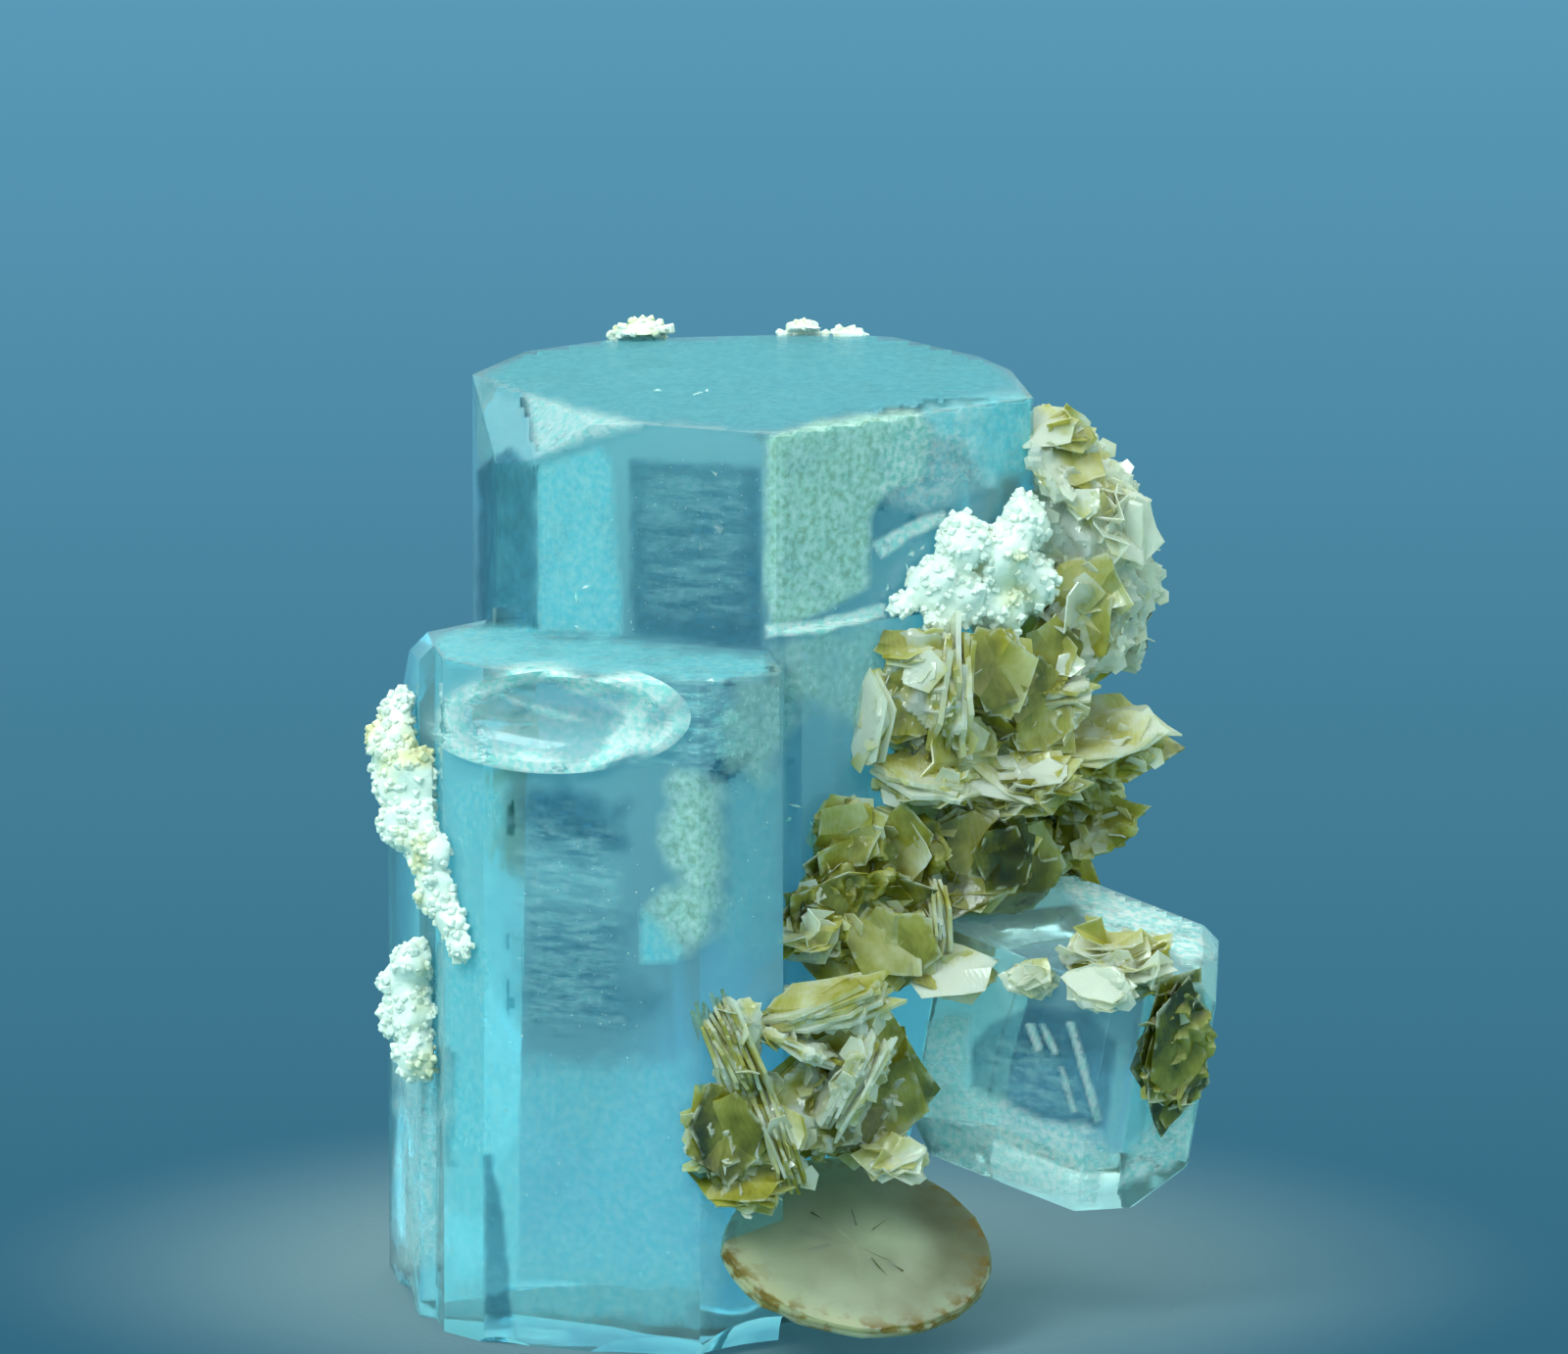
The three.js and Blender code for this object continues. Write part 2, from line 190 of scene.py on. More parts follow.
def scattered(ground, shapes, per_square_mm, sizes, lean, tones, seed):
    """Copies of small shapes strewn over a mesh, each leaning off its face."""
    chance = random.Random(seed)
    faces = [polygon for polygon in ground.data.polygons]
    area = sum(polygon.area for polygon in faces) / MM**2
    parts = []
    for polygon in chance.choices(faces, [polygon.area for polygon in faces], k=int(area * per_square_mm)):
        turn = Euler([math.radians(chance.gauss(0, lean)) for _ in range(2)] + [chance.uniform(0, 6.28)])
        outward = polygon.normal.to_track_quat("Z", "Y").to_matrix().to_4x4()
        size = chance.uniform(*sizes) * MM
        part = bpy.data.objects.new(ground.name, chance.choice(shapes).data.copy())
        scale = Matrix.Diagonal((size, size * chance.uniform(0.6, 1.0), size, 1.0))
        part.data.transform(Matrix.Translation(polygon.center) @ outward @ turn.to_matrix().to_4x4() @ scale)
        set_values(part.data, "tone", [chance.uniform(*tones)] * len(part.data.vertices))
        bpy.context.scene.collection.objects.link(part)
        parts.append(part)
    return parts


# Properties


class SpecimenSizes(bpy.types.PropertyGroup):
    """Sizes that a user would change."""

    edge_wear: bpy.props.FloatProperty(
        name="Edge wear", description="Width of the worn crystal edges", default=0.05 * MM, unit="LENGTH"
    )
    grain: bpy.props.FloatProperty(
        name="Grain", description="Width of one albite grain", default=0.26 * MM, unit="LENGTH"
    )
    floor: bpy.props.FloatProperty(
        name="Floor radius", description="Radius of the pale floor", default=60 * MM, unit="LENGTH"
    )


class SpecimenColours(bpy.types.PropertyGroup):
    """Colours that a user would change."""

    beryl: bpy.props.FloatVectorProperty(
        name="Beryl",
        description="Colour that the crystal lets through",
        default=linear("#adf0fd")[:3],
        subtype="COLOR",
        size=3,
    )
    floor: bpy.props.FloatVectorProperty(
        name="Floor",
        description="Colour of the pale floor",
        default=linear("#7c9097")[:3],
        subtype="COLOR",
        size=3,
    )


# Materials


def aquamarine(name, density, clearness, base, colour):
    """Beryl, grown with glossy flat faces: clear as glass, and blue-green only by what it absorbs."""
    material, tree = new_material(name)
    where = add(tree, "TexCoord").outputs["Object"]
    # growth striations run along the prism, about 0.4 mm apart
    stretch = add(tree, "Mapping", {"Vector": where, "Scale": (1.0, 1.0, 0.06)}).outputs["Vector"]
    lines = add(tree, "TexNoise", {"Vector": stretch, "Scale": 1 / (0.4 * MM), "Detail": 3.0}).outputs["Fac"]
    # etched patches about 2 mm wide scatter more light than the smooth growth faces
    patch = add(tree, "TexNoise", {"Vector": where, "Scale": 1 / (2.0 * MM), "Detail": 6.0}).outputs["Fac"]
    etch = add(
        tree,
        "MapRange",
        {"Value": patch, "From Min": 0.35, "From Max": 0.7, "To Min": 0.02, "To Max": 0.11},
    )
    ripple = add(tree, "Bump", {"Height": lines, "Strength": 0.16, "Distance": 0.02 * MM})
    shader = add(
        tree,
        "BsdfPrincipled",
        {
            "Base Color": linear(base),
            "Roughness": etch.outputs["Result"],
            "IOR": 1.577,
            "Transmission Weight": clearness,
            "Normal": ripple.outputs["Normal"],
        },
    )
    inside = add(tree, "VolumeAbsorption", {"Color": (*colour, 1.0), "Density": density})
    add(tree, "OutputMaterial", {"Surface": shader.outputs["BSDF"], "Volume": inside.outputs["Volume"]})
    return material


def film(name, stops, width, stretch, cover, soft, density):
    """A thin film on a crystal, from etching, stain or trapped fluid: soft patches that scatter light. The
    same film also serves as painted shade and as painted glints.
    """
    material, tree = new_material(name)
    where = add(tree, "TexCoord").outputs["Object"]
    drawn = add(tree, "Mapping", {"Vector": where, "Scale": stretch}).outputs["Vector"]
    cloud = add(
        tree, "TexNoise", {"Vector": drawn, "Scale": 1 / (width * MM), "Detail": 8.0, "Roughness": 0.7}
    )
    speck = add(tree, "TexNoise", {"Vector": where, "Scale": 1 / (0.14 * MM), "Detail": 2.0}).outputs["Fac"]
    colour = add(tree, "ValToRGB", {"Fac": speck}, stops).outputs["Color"]
    edge = 0.62 - 0.3 * cover
    patches = add(
        tree,
        "MapRange",
        {"Value": cloud.outputs["Fac"], "From Min": edge - soft, "From Max": edge + soft, "To Max": density},
        interpolation_type="SMOOTHSTEP",
    ).outputs["Result"]
    fade = add(tree, "Attribute", attribute_name="veil").outputs["Fac"]
    amount = add(tree, "Math", {0: patches, 1: fade}, operation="MULTIPLY").outputs[0]
    milk = add(tree, "BsdfPrincipled", {"Base Color": colour, "Roughness": 0.5})
    glow = add(tree, "BsdfTranslucent", {"Color": colour})
    both = add(tree, "MixShader", {"Fac": 0.5, 1: milk.outputs["BSDF"], 2: glow.outputs["BSDF"]})
    clear = add(tree, "BsdfTransparent")
    sheet = add(tree, "MixShader", {"Fac": amount, 1: clear.outputs["BSDF"], 2: both.outputs["Shader"]})
    add(tree, "OutputMaterial", {"Surface": sheet.outputs["Shader"]})
    return material


def muscovite(name, stops, torn, split, mottle, clearness):
    """Muscovite mica, split into thin leaves: pearly, olive to gold, with the rim colour on torn rims in
    places, which on the leaves is a painted highlight and on the disc a tan stain.
    """
    material, tree = new_material(name)
    tone = add(tree, "Attribute", attribute_name="tone").outputs["Fac"]
    rim = add(tree, "Attribute", attribute_name="rim").outputs["Fac"]
    where = add(tree, "TexCoord").outputs["Object"]
    # stains and thickness patches about 0.6 mm wide
    cloud = add(tree, "TexNoise", {"Vector": where, "Scale": 1 / (0.6 * MM), "Detail": 6.0}).outputs["Fac"]
    # the edges of split layers, about 0.16 mm apart and folded by a strong distortion
    period = 2 * math.pi / 20
    layers = add(
        tree,
        "TexWave",
        {
            "Vector": where,
            "Scale": period / (0.16 * MM),
            "Distortion": 42.0,
            "Detail": 2.0,
            "Detail Scale": 0.3,
        },
    ).outputs["Fac"]
    stained = add(tree, "Math", {0: cloud, 1: mottle, 2: tone}, operation="MULTIPLY_ADD").outputs[0]
    mixed = add(tree, "Math", {0: layers, 1: split, 2: stained}, operation="MULTIPLY_ADD").outputs[0]
    shade = add(tree, "MapRange", {"Value": mixed, "From Min": 0.3, "From Max": 1.25}).outputs["Result"]
    body = add(tree, "ValToRGB", {"Fac": shade}, stops).outputs["Color"]
    # painted highlight on the leaves' torn rims, in places where they would catch the light; on the disc the
    # rim colour is a tan stain
    broken = add(tree, "TexNoise", {"Vector": where, "Scale": 1 / (0.35 * MM), "Detail": 2.0}).outputs["Fac"]
    lit = add(tree, "MapRange", {"Value": broken, "From Min": 0.48, "From Max": 0.6}).outputs["Result"]
    edge = add(tree, "Math", {0: rim, 1: lit}, operation="MULTIPLY").outputs[0]
    rimmed = {"Factor": edge, "A": body, "B": linear(torn)}
    colour = add(tree, "Mix", rimmed, data_type="RGBA").outputs["Result"]
    # crinkles about 0.12 mm apart
    fine = add(tree, "TexNoise", {"Vector": where, "Scale": 1 / (0.12 * MM), "Detail": 3.0}).outputs["Fac"]
    height = add(tree, "Math", {0: layers, 1: 8 * split, 2: fine}, operation="MULTIPLY_ADD").outputs[0]
    crinkle = add(
        tree, "Bump", {"Height": height, "Strength": 0.5 * mottle, "Distance": 0.03 * MM}
    ).outputs["Normal"]
    pearl = add(
        tree,
        "BsdfPrincipled",
        {
            "Base Color": colour,
            "Roughness": 0.16,
            "IOR": 1.58,
            "Specular IOR Level": 0.9,
            "Coat Weight": 0.6,
            "Coat Roughness": 0.12,
            "Coat IOR": 1.6,
            "Normal": crinkle,
        },
    )
    glow = add(tree, "BsdfTranslucent", {"Color": colour, "Normal": crinkle})
    both = add(tree, "MixShader", {"Fac": 0.5, 1: pearl.outputs["BSDF"], 2: glow.outputs["BSDF"]})
    clear = add(tree, "BsdfTransparent", {"Color": linear("#e4e2b4")})
    sheet = add(tree, "MixShader", {"Fac": clearness, 1: both.outputs["Shader"], 2: clear.outputs["BSDF"]})
    add(tree, "OutputMaterial", {"Surface": sheet.outputs["Shader"]})
    return material


def albite():
    """Albite, grown as a sugary crust: white grains with glinting faces and yellow stains between."""
    material, tree = new_material("albite_sugar")
    where = add(tree, "TexCoord").outputs["Object"]
    stain = add(tree, "TexNoise", {"Vector": where, "Scale": 1 / (1.4 * MM), "Detail": 5.0}).outputs["Fac"]
    stops = [(0.0, "#f8fbf4"), (0.52, "#f2f6ec"), (0.64, "#e2dfba"), (0.8, "#c2ab5e")]
    colour = add(tree, "ValToRGB", {"Fac": stain}, stops).outputs["Color"]
    cells = add(tree, "TexNoise", {"Vector": where, "Scale": 1 / (0.12 * MM), "Detail": 4.0}).outputs["Fac"]
    grain = add(tree, "Bump", {"Height": cells, "Strength": 0.6, "Distance": 0.04 * MM}).outputs["Normal"]
    shader = add(
        tree,
        "BsdfPrincipled",
        {
            "Base Color": colour,
            "Roughness": 0.35,
            "IOR": 1.53,
            "Subsurface Weight": 0.3,
            "Subsurface Radius": (1.0, 1.0, 1.0),
            "Subsurface Scale": 0.2 * MM,
            "Normal": grain,
        },
    )
    add(tree, "OutputMaterial", {"Surface": shader.outputs["BSDF"]})
    return material


# Crystals


class SPECIMEN_OT_crystals(bpy.types.Operator):
    """Copies the crystals from the CAD part and wears their edges"""

    bl_idname = "specimen.crystals"
    bl_label = "Crystals"

    def execute(self, context):
        sizes = context.scene.specimen_sizes
        colour = tuple(context.scene.specimen_colours.beryl)
        wanted = [
            ("crystal_pair", "beryl_pair", "aquamarine", 72.0, 0.84, "#c4f2f9"),
            ("side_crystal", "beryl_side", "aquamarine_clear", 34.0, 0.88, "#e2fafa"),
        ]
        for node, piece, slot, density, clearness, base in wanted:
            obj = copy_of(node, piece)
            edit(obj)
            bpy.ops.mesh.dissolve_limited(angle_limit=math.radians(1.5))
            done()
            modify(
                obj,
                "BEVEL",
                width=sizes.edge_wear,
                segments=2,
                limit_method="ANGLE",
                angle_limit=math.radians(22),
                use_clamp_overlap=True,
            )
            edit(obj)
            bpy.ops.mesh.quads_convert_to_tris()
            done()
            only(obj)
            bpy.ops.object.shade_smooth_by_angle(angle=math.radians(16))
            material = aquamarine("beryl_" + slot, density, clearness, base, colour)
            finish_piece(obj, material, slot, node)
        return {"FINISHED"}


# Films

# Films on the crystals: crystal, kind, strength, width of the soft edge, and the outline in the front view,
# in millimetres.
FILMS = [
    ("beryl_pair", "skin", 1.0, 0.15, [
        (-5.75, 19), (-5.43, 19.6), (-4.53, 20.26), (-2.63, 20.4), (-0.23, 20.46), (2.97, 20.54),
        (4.37, 20.3), (5.27, 19.4), (3.77, 19.06), (1.37, 18.7), (0.37, 18.4), (-1.43, 18.64),
        (-2.63, 18.66), (-4.23, 18.2), (-4.63, 19.2), (-5.43, 19.4),
    ]),
    ("beryl_pair", "shade", 0.75, 0.06, [
        (-5.39, 17.9), (-5.03, 18.14), (-4.47, 17.66), (-4.47, 14.5), (-5.67, 14.58), (-5.67, 17.7),
    ]),
    ("beryl_pair", "satin", 0.35, 0.1, [
        (-5.79, 18.9), (-5.23, 19.5), (-4.73, 18.9), (-4.49, 17.74), (-5.03, 18.14), (-5.43, 17.9),
        (-5.71, 17.9),
    ]),
    ("beryl_pair", "rim", 0.45, 0.1, [
        (-4.69, 19.2), (-3.03, 18.8), (-2.33, 18.58), (-3.43, 18.26), (-4.43, 17.98),
    ]),
    ("beryl_pair", "milk", 0.85, 0.06, [
        (-4.45, 17.7), (-3.19, 18.14), (-2.95, 17.8), (-2.79, 16.1), (-2.71, 14.3), (-4.43, 14.4),
    ]),
    ("beryl_pair", "shade", 0.55, 0.06, [(-2.56, 17.9), (0.08, 17.7), (0.08, 14.1), (-2.5, 14.36)]),
    ("beryl_pair", "wisp", 0.32, 0.2, [(-2.25, 17.6), (-0.25, 17.5), (-0.25, 14.7), (-2.2, 14.8)]),
    ("beryl_pair", "olive", 1.0, 0.07, [
        (0.23, 18.3), (1.37, 18.66), (3.17, 18.9), (3.57, 18.5), (3.37, 17.5), (2.67, 17.3),
        (2.27, 16.7), (2.27, 15.3), (1.37, 14.8), (0.37, 14.5), (0.17, 15.3),
    ]),
    ("beryl_pair", "milk", 1.3, 0.15, [
        (3.07, 18.82), (4.57, 19.14), (5.77, 19.2), (6.17, 17.9), (4.77, 17.46), (4.27, 17.9),
        (3.67, 18.34),
    ]),
    ("beryl_pair", "shade", 0.3, 0.1, [
        (3.47, 18.2), (4.07, 18.3), (4.27, 17.5), (4.17, 16.7), (2.57, 16.1), (2.27, 16.5),
        (2.67, 17.2), (3.27, 17.3),
    ]),
    # painted highlight: a white flash laid on the face as a bright film
    ("beryl_pair", "rim", 0.9, 0.05, [
        (2.37, 16.18), (3.07, 16.6), (3.81, 16.86), (3.89, 16.66), (3.17, 16.34), (2.57, 15.9),
    ]),
    ("beryl_pair", "rim", 0.85, 0.05, [
        (0.21, 14.5), (1.17, 14.62), (2.57, 14.94), (2.63, 14.74), (1.27, 14.38), (0.23, 14.28),
    ]),
    ("beryl_pair", "olive", 0.45, 0.2, [(0.37, 14.2), (2.57, 14.5), (2.67, 12.1), (0.57, 13.3)]),
    ("beryl_pair", "milk", 0.8, 0.1, [
        (-6.49, 14.2), (-5.83, 14.5), (-4.63, 14.58), (-4.39, 14.34), (-2.63, 14.2), (0.17, 13.86),
        (0.37, 13.5), (-0.63, 13.4), (-2.63, 13.5), (-6.33, 13.74),
    ]),
    ("beryl_pair", "wisp", 0.9, 0.15, [
        (-1.83, 13.3), (-0.63, 13.3), (-0.03, 12.4), (-0.63, 11.5), (-1.63, 11.7), (-2.43, 11.8),
        (-1.63, 12.7),
    ]),
    ("beryl_pair", "olive", 0.8, 0.22, [
        (-1.63, 11.6), (-0.73, 11.3), (-0.67, 9.7), (-0.83, 8.5), (-1.43, 8), (-2.13, 8.8),
        (-1.63, 9.3), (-1.83, 10.3),
    ]),
    ("beryl_pair", "olive", 0.45, 0.2, [
        (-0.43, 13.3), (0.37, 13.5), (1.17, 13.3), (0.57, 12.1), (0.17, 11.3), (-0.63, 11.8),
    ]),
    ("beryl_pair", "milk", 0.8, 0.05, [
        (-2.33, 8.8), (-2.07, 8.7), (-1.43, 8), (-1.63, 7.74), (-2.33, 7.7),
    ]),
    ("beryl_pair", "shade", 0.8, 0.3, [
        (-4.83, 11), (-4.23, 11.3), (-2.73, 10.8), (-2.73, 10.1), (-3.43, 9.9), (-4.53, 10.3),
    ]),
    ("beryl_pair", "shade", 0.5, 0.4, [
        (-4.63, 8.6), (-2.83, 8.5), (-2.73, 7.3), (-2.03, 6.9), (-2.83, 6.6), (-4.43, 6.6), (-4.73, 7.3),
    ]),
    ("beryl_pair", "wisp", 0.5, 0.3, [(-4.73, 10.7), (-2.83, 10.5), (-2.83, 6.5), (-4.63, 6.5)]),
    ("beryl_pair", "milk", 0.6, 0.15, [
        (-6.33, 11.5), (-5.03, 11.3), (-5.33, 8.7), (-5.07, 5.3), (-5.43, 3.7), (-6.33, 3.7),
        (-6.43, 7.3), (-5.83, 9.3),
    ]),
    ("beryl_pair", "milk", 0.5, 0.3, [
        (-6.33, 5.6), (-1.43, 5.7), (-1.19, 3), (-1.23, 0.4), (-5.43, 0.4), (-6.43, 0.5),
    ]),
    ("beryl_pair", "shade", 0.7, 0.04, [
        (-5.49, 3.8), (-5.37, 3.8), (-5.19, 3), (-5.07, 2.1), (-4.95, 0.3), (-5.49, 0.26),
    ]),
    ("beryl_pair", "satin", 0.6, 0.1, [(-1.19, 3.1), (-0.73, 3.3), (-0.59, 1.3), (-1.13, 0.4)]),
    ("beryl_pair", "satin", 0.8, 0.08, [(-7.33, 1.1), (-6.93, 1.34), (-6.87, 0.38), (-7.13, 0.38)]),
    ("beryl_pair", "milk", 0.35, 0.25, [
        (-0.63, 11.7), (0.57, 11.5), (0.37, 8.1), (-0.63, 7.7), (-0.67, 9.7),
    ]),
    ("beryl_pair", "frost", 0.7, 0.2, [
        (-7.45, 7.4), (-6.4, 7.9), (-6.3, 5.0), (-6.45, 1.6), (-7.3, 1.4),
    ]),
    ("beryl_pair", "frost", 0.8, 0.25, [(2.7, 18.6), (4.4, 18.9), (4.8, 17.6), (3.4, 16.9), (2.5, 17.1)]),
    ("beryl_pair", "rim", 0.6, 0.05, [
        (-5.83, 13.3), (-4.23, 13.52), (-2.63, 13.36), (-2.63, 13.28), (-4.23, 13.4), (-5.83, 13.2),
    ]),
    ("beryl_pair", "rim", 0.5, 0.05, [
        (-5.13, 13.1), (-4.23, 12.86), (-3.43, 12.64), (-3.53, 12.56), (-4.33, 12.74),
    ]),
    ("beryl_pair", "rim", 0.5, 0.05, [
        (-3.73, 13.3), (-2.93, 13.04), (-2.13, 12.6), (-2.23, 12.54), (-3.03, 12.92),
    ]),
    ("beryl_side", "frost", 1.0, 0.1, [
        (3.47, 5), (4.57, 5.1), (5.77, 4.5), (7.07, 4.3), (7.07, 3.5), (6.87, 2.8), (5.57, 3.14),
        (3.77, 3.54), (3.43, 4.5),
    ]),
    ("beryl_side", "frost", 0.8, 0.1, [
        (3.27, 6.5), (4.37, 6.7), (4.27, 5.9), (4.17, 5.06), (3.47, 4.94), (3.17, 5.7),
    ]),
    ("beryl_side", "shade", 0.65, 0.05, [
        (4.67, 6.4), (5.57, 6.8), (6.67, 6.7), (7.27, 6.1), (7.07, 4.34), (5.77, 4.5), (4.37, 5.2),
        (4.37, 5.9),
    ]),
    ("beryl_side", "rim", 0.5, 0.03, [(6.29, 6.5), (6.43, 6.5), (7.01, 4.5), (6.87, 4.44)]),
    ("beryl_side", "rim", 0.55, 0.03, [(5.47, 6.46), (5.63, 6.46), (5.81, 5.94), (5.67, 5.9)]),
    ("beryl_side", "rim", 0.55, 0.03, [(5.73, 6.46), (5.85, 6.46), (6.13, 5.86), (6.01, 5.84)]),
    ("beryl_side", "rim", 0.4, 0.03, [(6.13, 5.6), (6.23, 5.6), (6.49, 4.68), (6.39, 4.66)]),
    ("beryl_side", "wisp", 0.5, 0.15, [(4.57, 6.1), (6.17, 6.1), (6.77, 4.5), (4.57, 5.1)]),
    ("beryl_side", "satin", 0.9, 0.06, [(7.31, 6), (7.57, 6.1), (7.37, 4.5), (7.13, 3.5), (7.11, 4.3)]),
    ("beryl_side", "frost", 1.5, 0.1, [
        (7.57, 3.9), (8.37, 4.7), (8.87, 4.9), (8.67, 3.9), (8.37, 3.5), (7.37, 3.2),
    ]),
    ("beryl_side", "satin", 0.7, 0.06, [
        (8.87, 7.6), (9.37, 7.7), (9.27, 6.5), (9.01, 4.9), (8.81, 5), (9.07, 6.5), (8.67, 7.1),
    ]),
    ("beryl_side", "frost", 1.7, 0.12, [
        (5.97, 9.6), (6.97, 9.6), (8.37, 9.2), (9.07, 8.3), (9.27, 7.8), (8.67, 7.7), (8.17, 8.1),
        (6.97, 8.3), (6.37, 9.1),
    ]),
]
# Small white chips on the crystals' faces, as places of the front view: partly broken spots, partly painted
# glints.
GLINTS = [
    (0.81, 10.86), (1.13, 10.5), (0.67, 10.6), (-0.73, 16.5), (-0.83, 17.6), (-1.13, 16.1),
    (-3.43, 15.3), (-3.63, 14.5), (-3.63, 15.1), (1.37, 15.3), (1.97, 16.4), (2.67, 15.3),
    (3.07, 15.7), (3.37, 16.1), (3.77, 15.7), (4.07, 15.5), (2.87, 14.9), (3.27, 15.1), (3.57, 15.3),
    (3.87, 15.1), (4.27, 15.8), (3.17, 16), (-1.53, 10.46), (-1.29, 10.6), (-2.07, 9.2), (-1.43, 8.7),
    (-1.03, 9), (-0.93, 13.4), (-0.53, 12.6), (-1.11, 19.26), (-1.0, 19.3), (-1.25, 19.22), (-2.0, 19.3)
]
# Fine white specks, painted glints: left, right, bottom and top of a part of the front view, and how many it
# has.
SPECKS = [
    (-2.6, 0.1, 14.3, 18.0, 90), (-4.4, -2.8, 14.5, 17.6, 25), (0.3, 2.4, 14.6, 18.4, 60),
    (-5.0, -2.2, 5.6, 11.0, 70), (-1.8, 0.3, 8.0, 13.2, 50), (-6.2, -1.4, 0.6, 5.4, 25),
]
# The broken scoop: crystal, middle and half sizes in the front view.
SCOOP = ("beryl_pair", -4.05, 12.68, 2.75, 1.15)
FILM_GAP = 0.005  # between a film and the next one out
FILM_THICKNESS = 0.004
FILM_CELLS = (0.06, 0.11)  # sides of the smallest and largest mesh cells
VIEW_RISE = 11.0  # degrees that the camera stands above the level
VIEW_FOOT = 1.349  # height of the frame's origin in the front view


def front_frame(x, height):
    """A frame that looks back along the camera's line, well before a place of the front view."""
    rise = math.radians(VIEW_RISE)
    toward = heading(0, VIEW_RISE)
    up = Vector((0, math.sin(rise), math.cos(rise)))
    at = Vector((x, 0, 0)) + up * (height - VIEW_FOOT) + toward * 30
    return Matrix.Translation(at * MM) @ Matrix((Vector((1, 0, 0)), up, toward)).transposed().to_4x4()


def lay(sheet, crystal, place, lift):
    """Projects a flat sheet onto a crystal's front, trims what misses it or is empty, and lifts it off."""
    sheet.matrix_world = place
    modify(
        sheet,
        "SHRINKWRAP",
        target=bpy.data.objects[crystal],
        wrap_method="PROJECT",
        use_project_z=True,
        use_positive_direction=False,
        use_negative_direction=True,
    )
    mesh = sheet.data
    strength = [value.value for value in mesh.attributes["veil"].data]
    edit(sheet)
    bpy.ops.mesh.select_all(action="DESELECT")
    done()
    for polygon in mesh.polygons:
        missed = any(mesh.vertices[v].co.z > -1 * MM for v in polygon.vertices)
        polygon.select = missed or max(strength[v] for v in polygon.vertices) == 0.0
    bpy.ops.object.mode_set(mode="EDIT")
    bpy.ops.mesh.delete(type="FACE")
    done()
    mesh.transform(Matrix.Translation(heading(0, VIEW_RISE) * MM * lift) @ place)
    sheet.matrix_world = Matrix()
    modify(sheet, "SOLIDIFY", thickness=FILM_THICKNESS * MM, offset=1.0)
    return sheet


def depth_inside(point, outline):
    """How far a point lies inside an outline, or outside it if negative."""
    inside, nearest = False, 1e9
    for first, second in zip(outline, outline[1:] + outline[:1]):
        a, b = Vector(first), Vector(second)
        along = b - a
        share = min(1, max(0, (point - a).dot(along) / along.dot(along)))
        nearest = min(nearest, (point - a - along * share).length)
        if (a.y > point.y) != (b.y > point.y) and point.x < a.x + (point.y - a.y) * along.x / along.y:
            inside = not inside
    return nearest if inside else -nearest


def model_film(crystal, lift, strength, soft, outline):
    """A film with a ragged outline."""
    low = Vector([min(p[i] for p in outline) - soft for i in (0, 1)])
    high = Vector([max(p[i] for p in outline) + soft for i in (0, 1)])
    middle, half = (low + high) / 2, (high - low) / 2
    cell = min(FILM_CELLS[1], max(FILM_CELLS[0], min(half) / 6))
    counts = [int(2 * side / cell) + 2 for side in half]
    sheet = new_primitive("grid", x_subdivisions=counts[0], y_subdivisions=counts[1], size=2)
    fade = []
    for v in sheet.data.vertices:
        at = middle + Vector((v.co.x * half.x, v.co.y * half.y))
        ragged = soft * noise.noise(Vector((at.x, at.y, 0)) * 2.5)
        fade.append(strength * min(1.0, max(0.0, 0.5 + (depth_inside(at, outline) + ragged) / (2 * soft))))
    set_values(sheet.data, "veil", fade)
    edit(sheet)
    bpy.ops.transform.resize(value=(half.x * MM, half.y * MM, 1))
    done()
    return lay(sheet, crystal, front_frame(*middle), lift)


def model_scoop(crystal, x, height, wide, tall, lift):
    """The frosted break: a broad white band round a clearer middle."""
    ring = new_primitive("circle", vertices=64, radius=1.0, fill_type="NGON")
    edit(ring)
    for _ in range(9):
        bpy.ops.mesh.inset(thickness=0.1)
    bpy.ops.mesh.poke()
    done()
    strength = []
    for v in ring.data.vertices:
        reach = math.hypot(v.co.x, v.co.y) + 0.34 * noise.noise(Vector((v.co.x * 2.2, v.co.y * 1.6, 4.2)))
        side = 0.75 + 0.35 * v.co.x - 0.25 * v.co.y
        band = 1.7 * math.exp(-(((reach - 0.76) / 0.12) ** 2)) * side
        strength.append(band + (0.22 if reach < 0.8 else 0.0))
    set_values(ring.data, "veil", strength)
    edit(ring)
    bpy.ops.transform.resize(value=(wide * MM, tall * MM, 1))
    done()
    return lay(ring, crystal, front_frame(x, height), lift)


def model_chip(seed):
    """One broken chip, two units across."""
    chip = new_primitive("circle", vertices=4, radius=1.0, fill_type="NGON")
    edit(chip)
    bpy.ops.transform.vertex_random(offset=0.6, uniform=0.0, normal=0.0, seed=seed)
    bpy.ops.mesh.poke(offset=0.25)
    done()
    set_values(chip.data, "veil", [1.0] * len(chip.data.vertices))
    modify(chip, "SOLIDIFY", thickness=0.15, offset=0.0)
    return chip


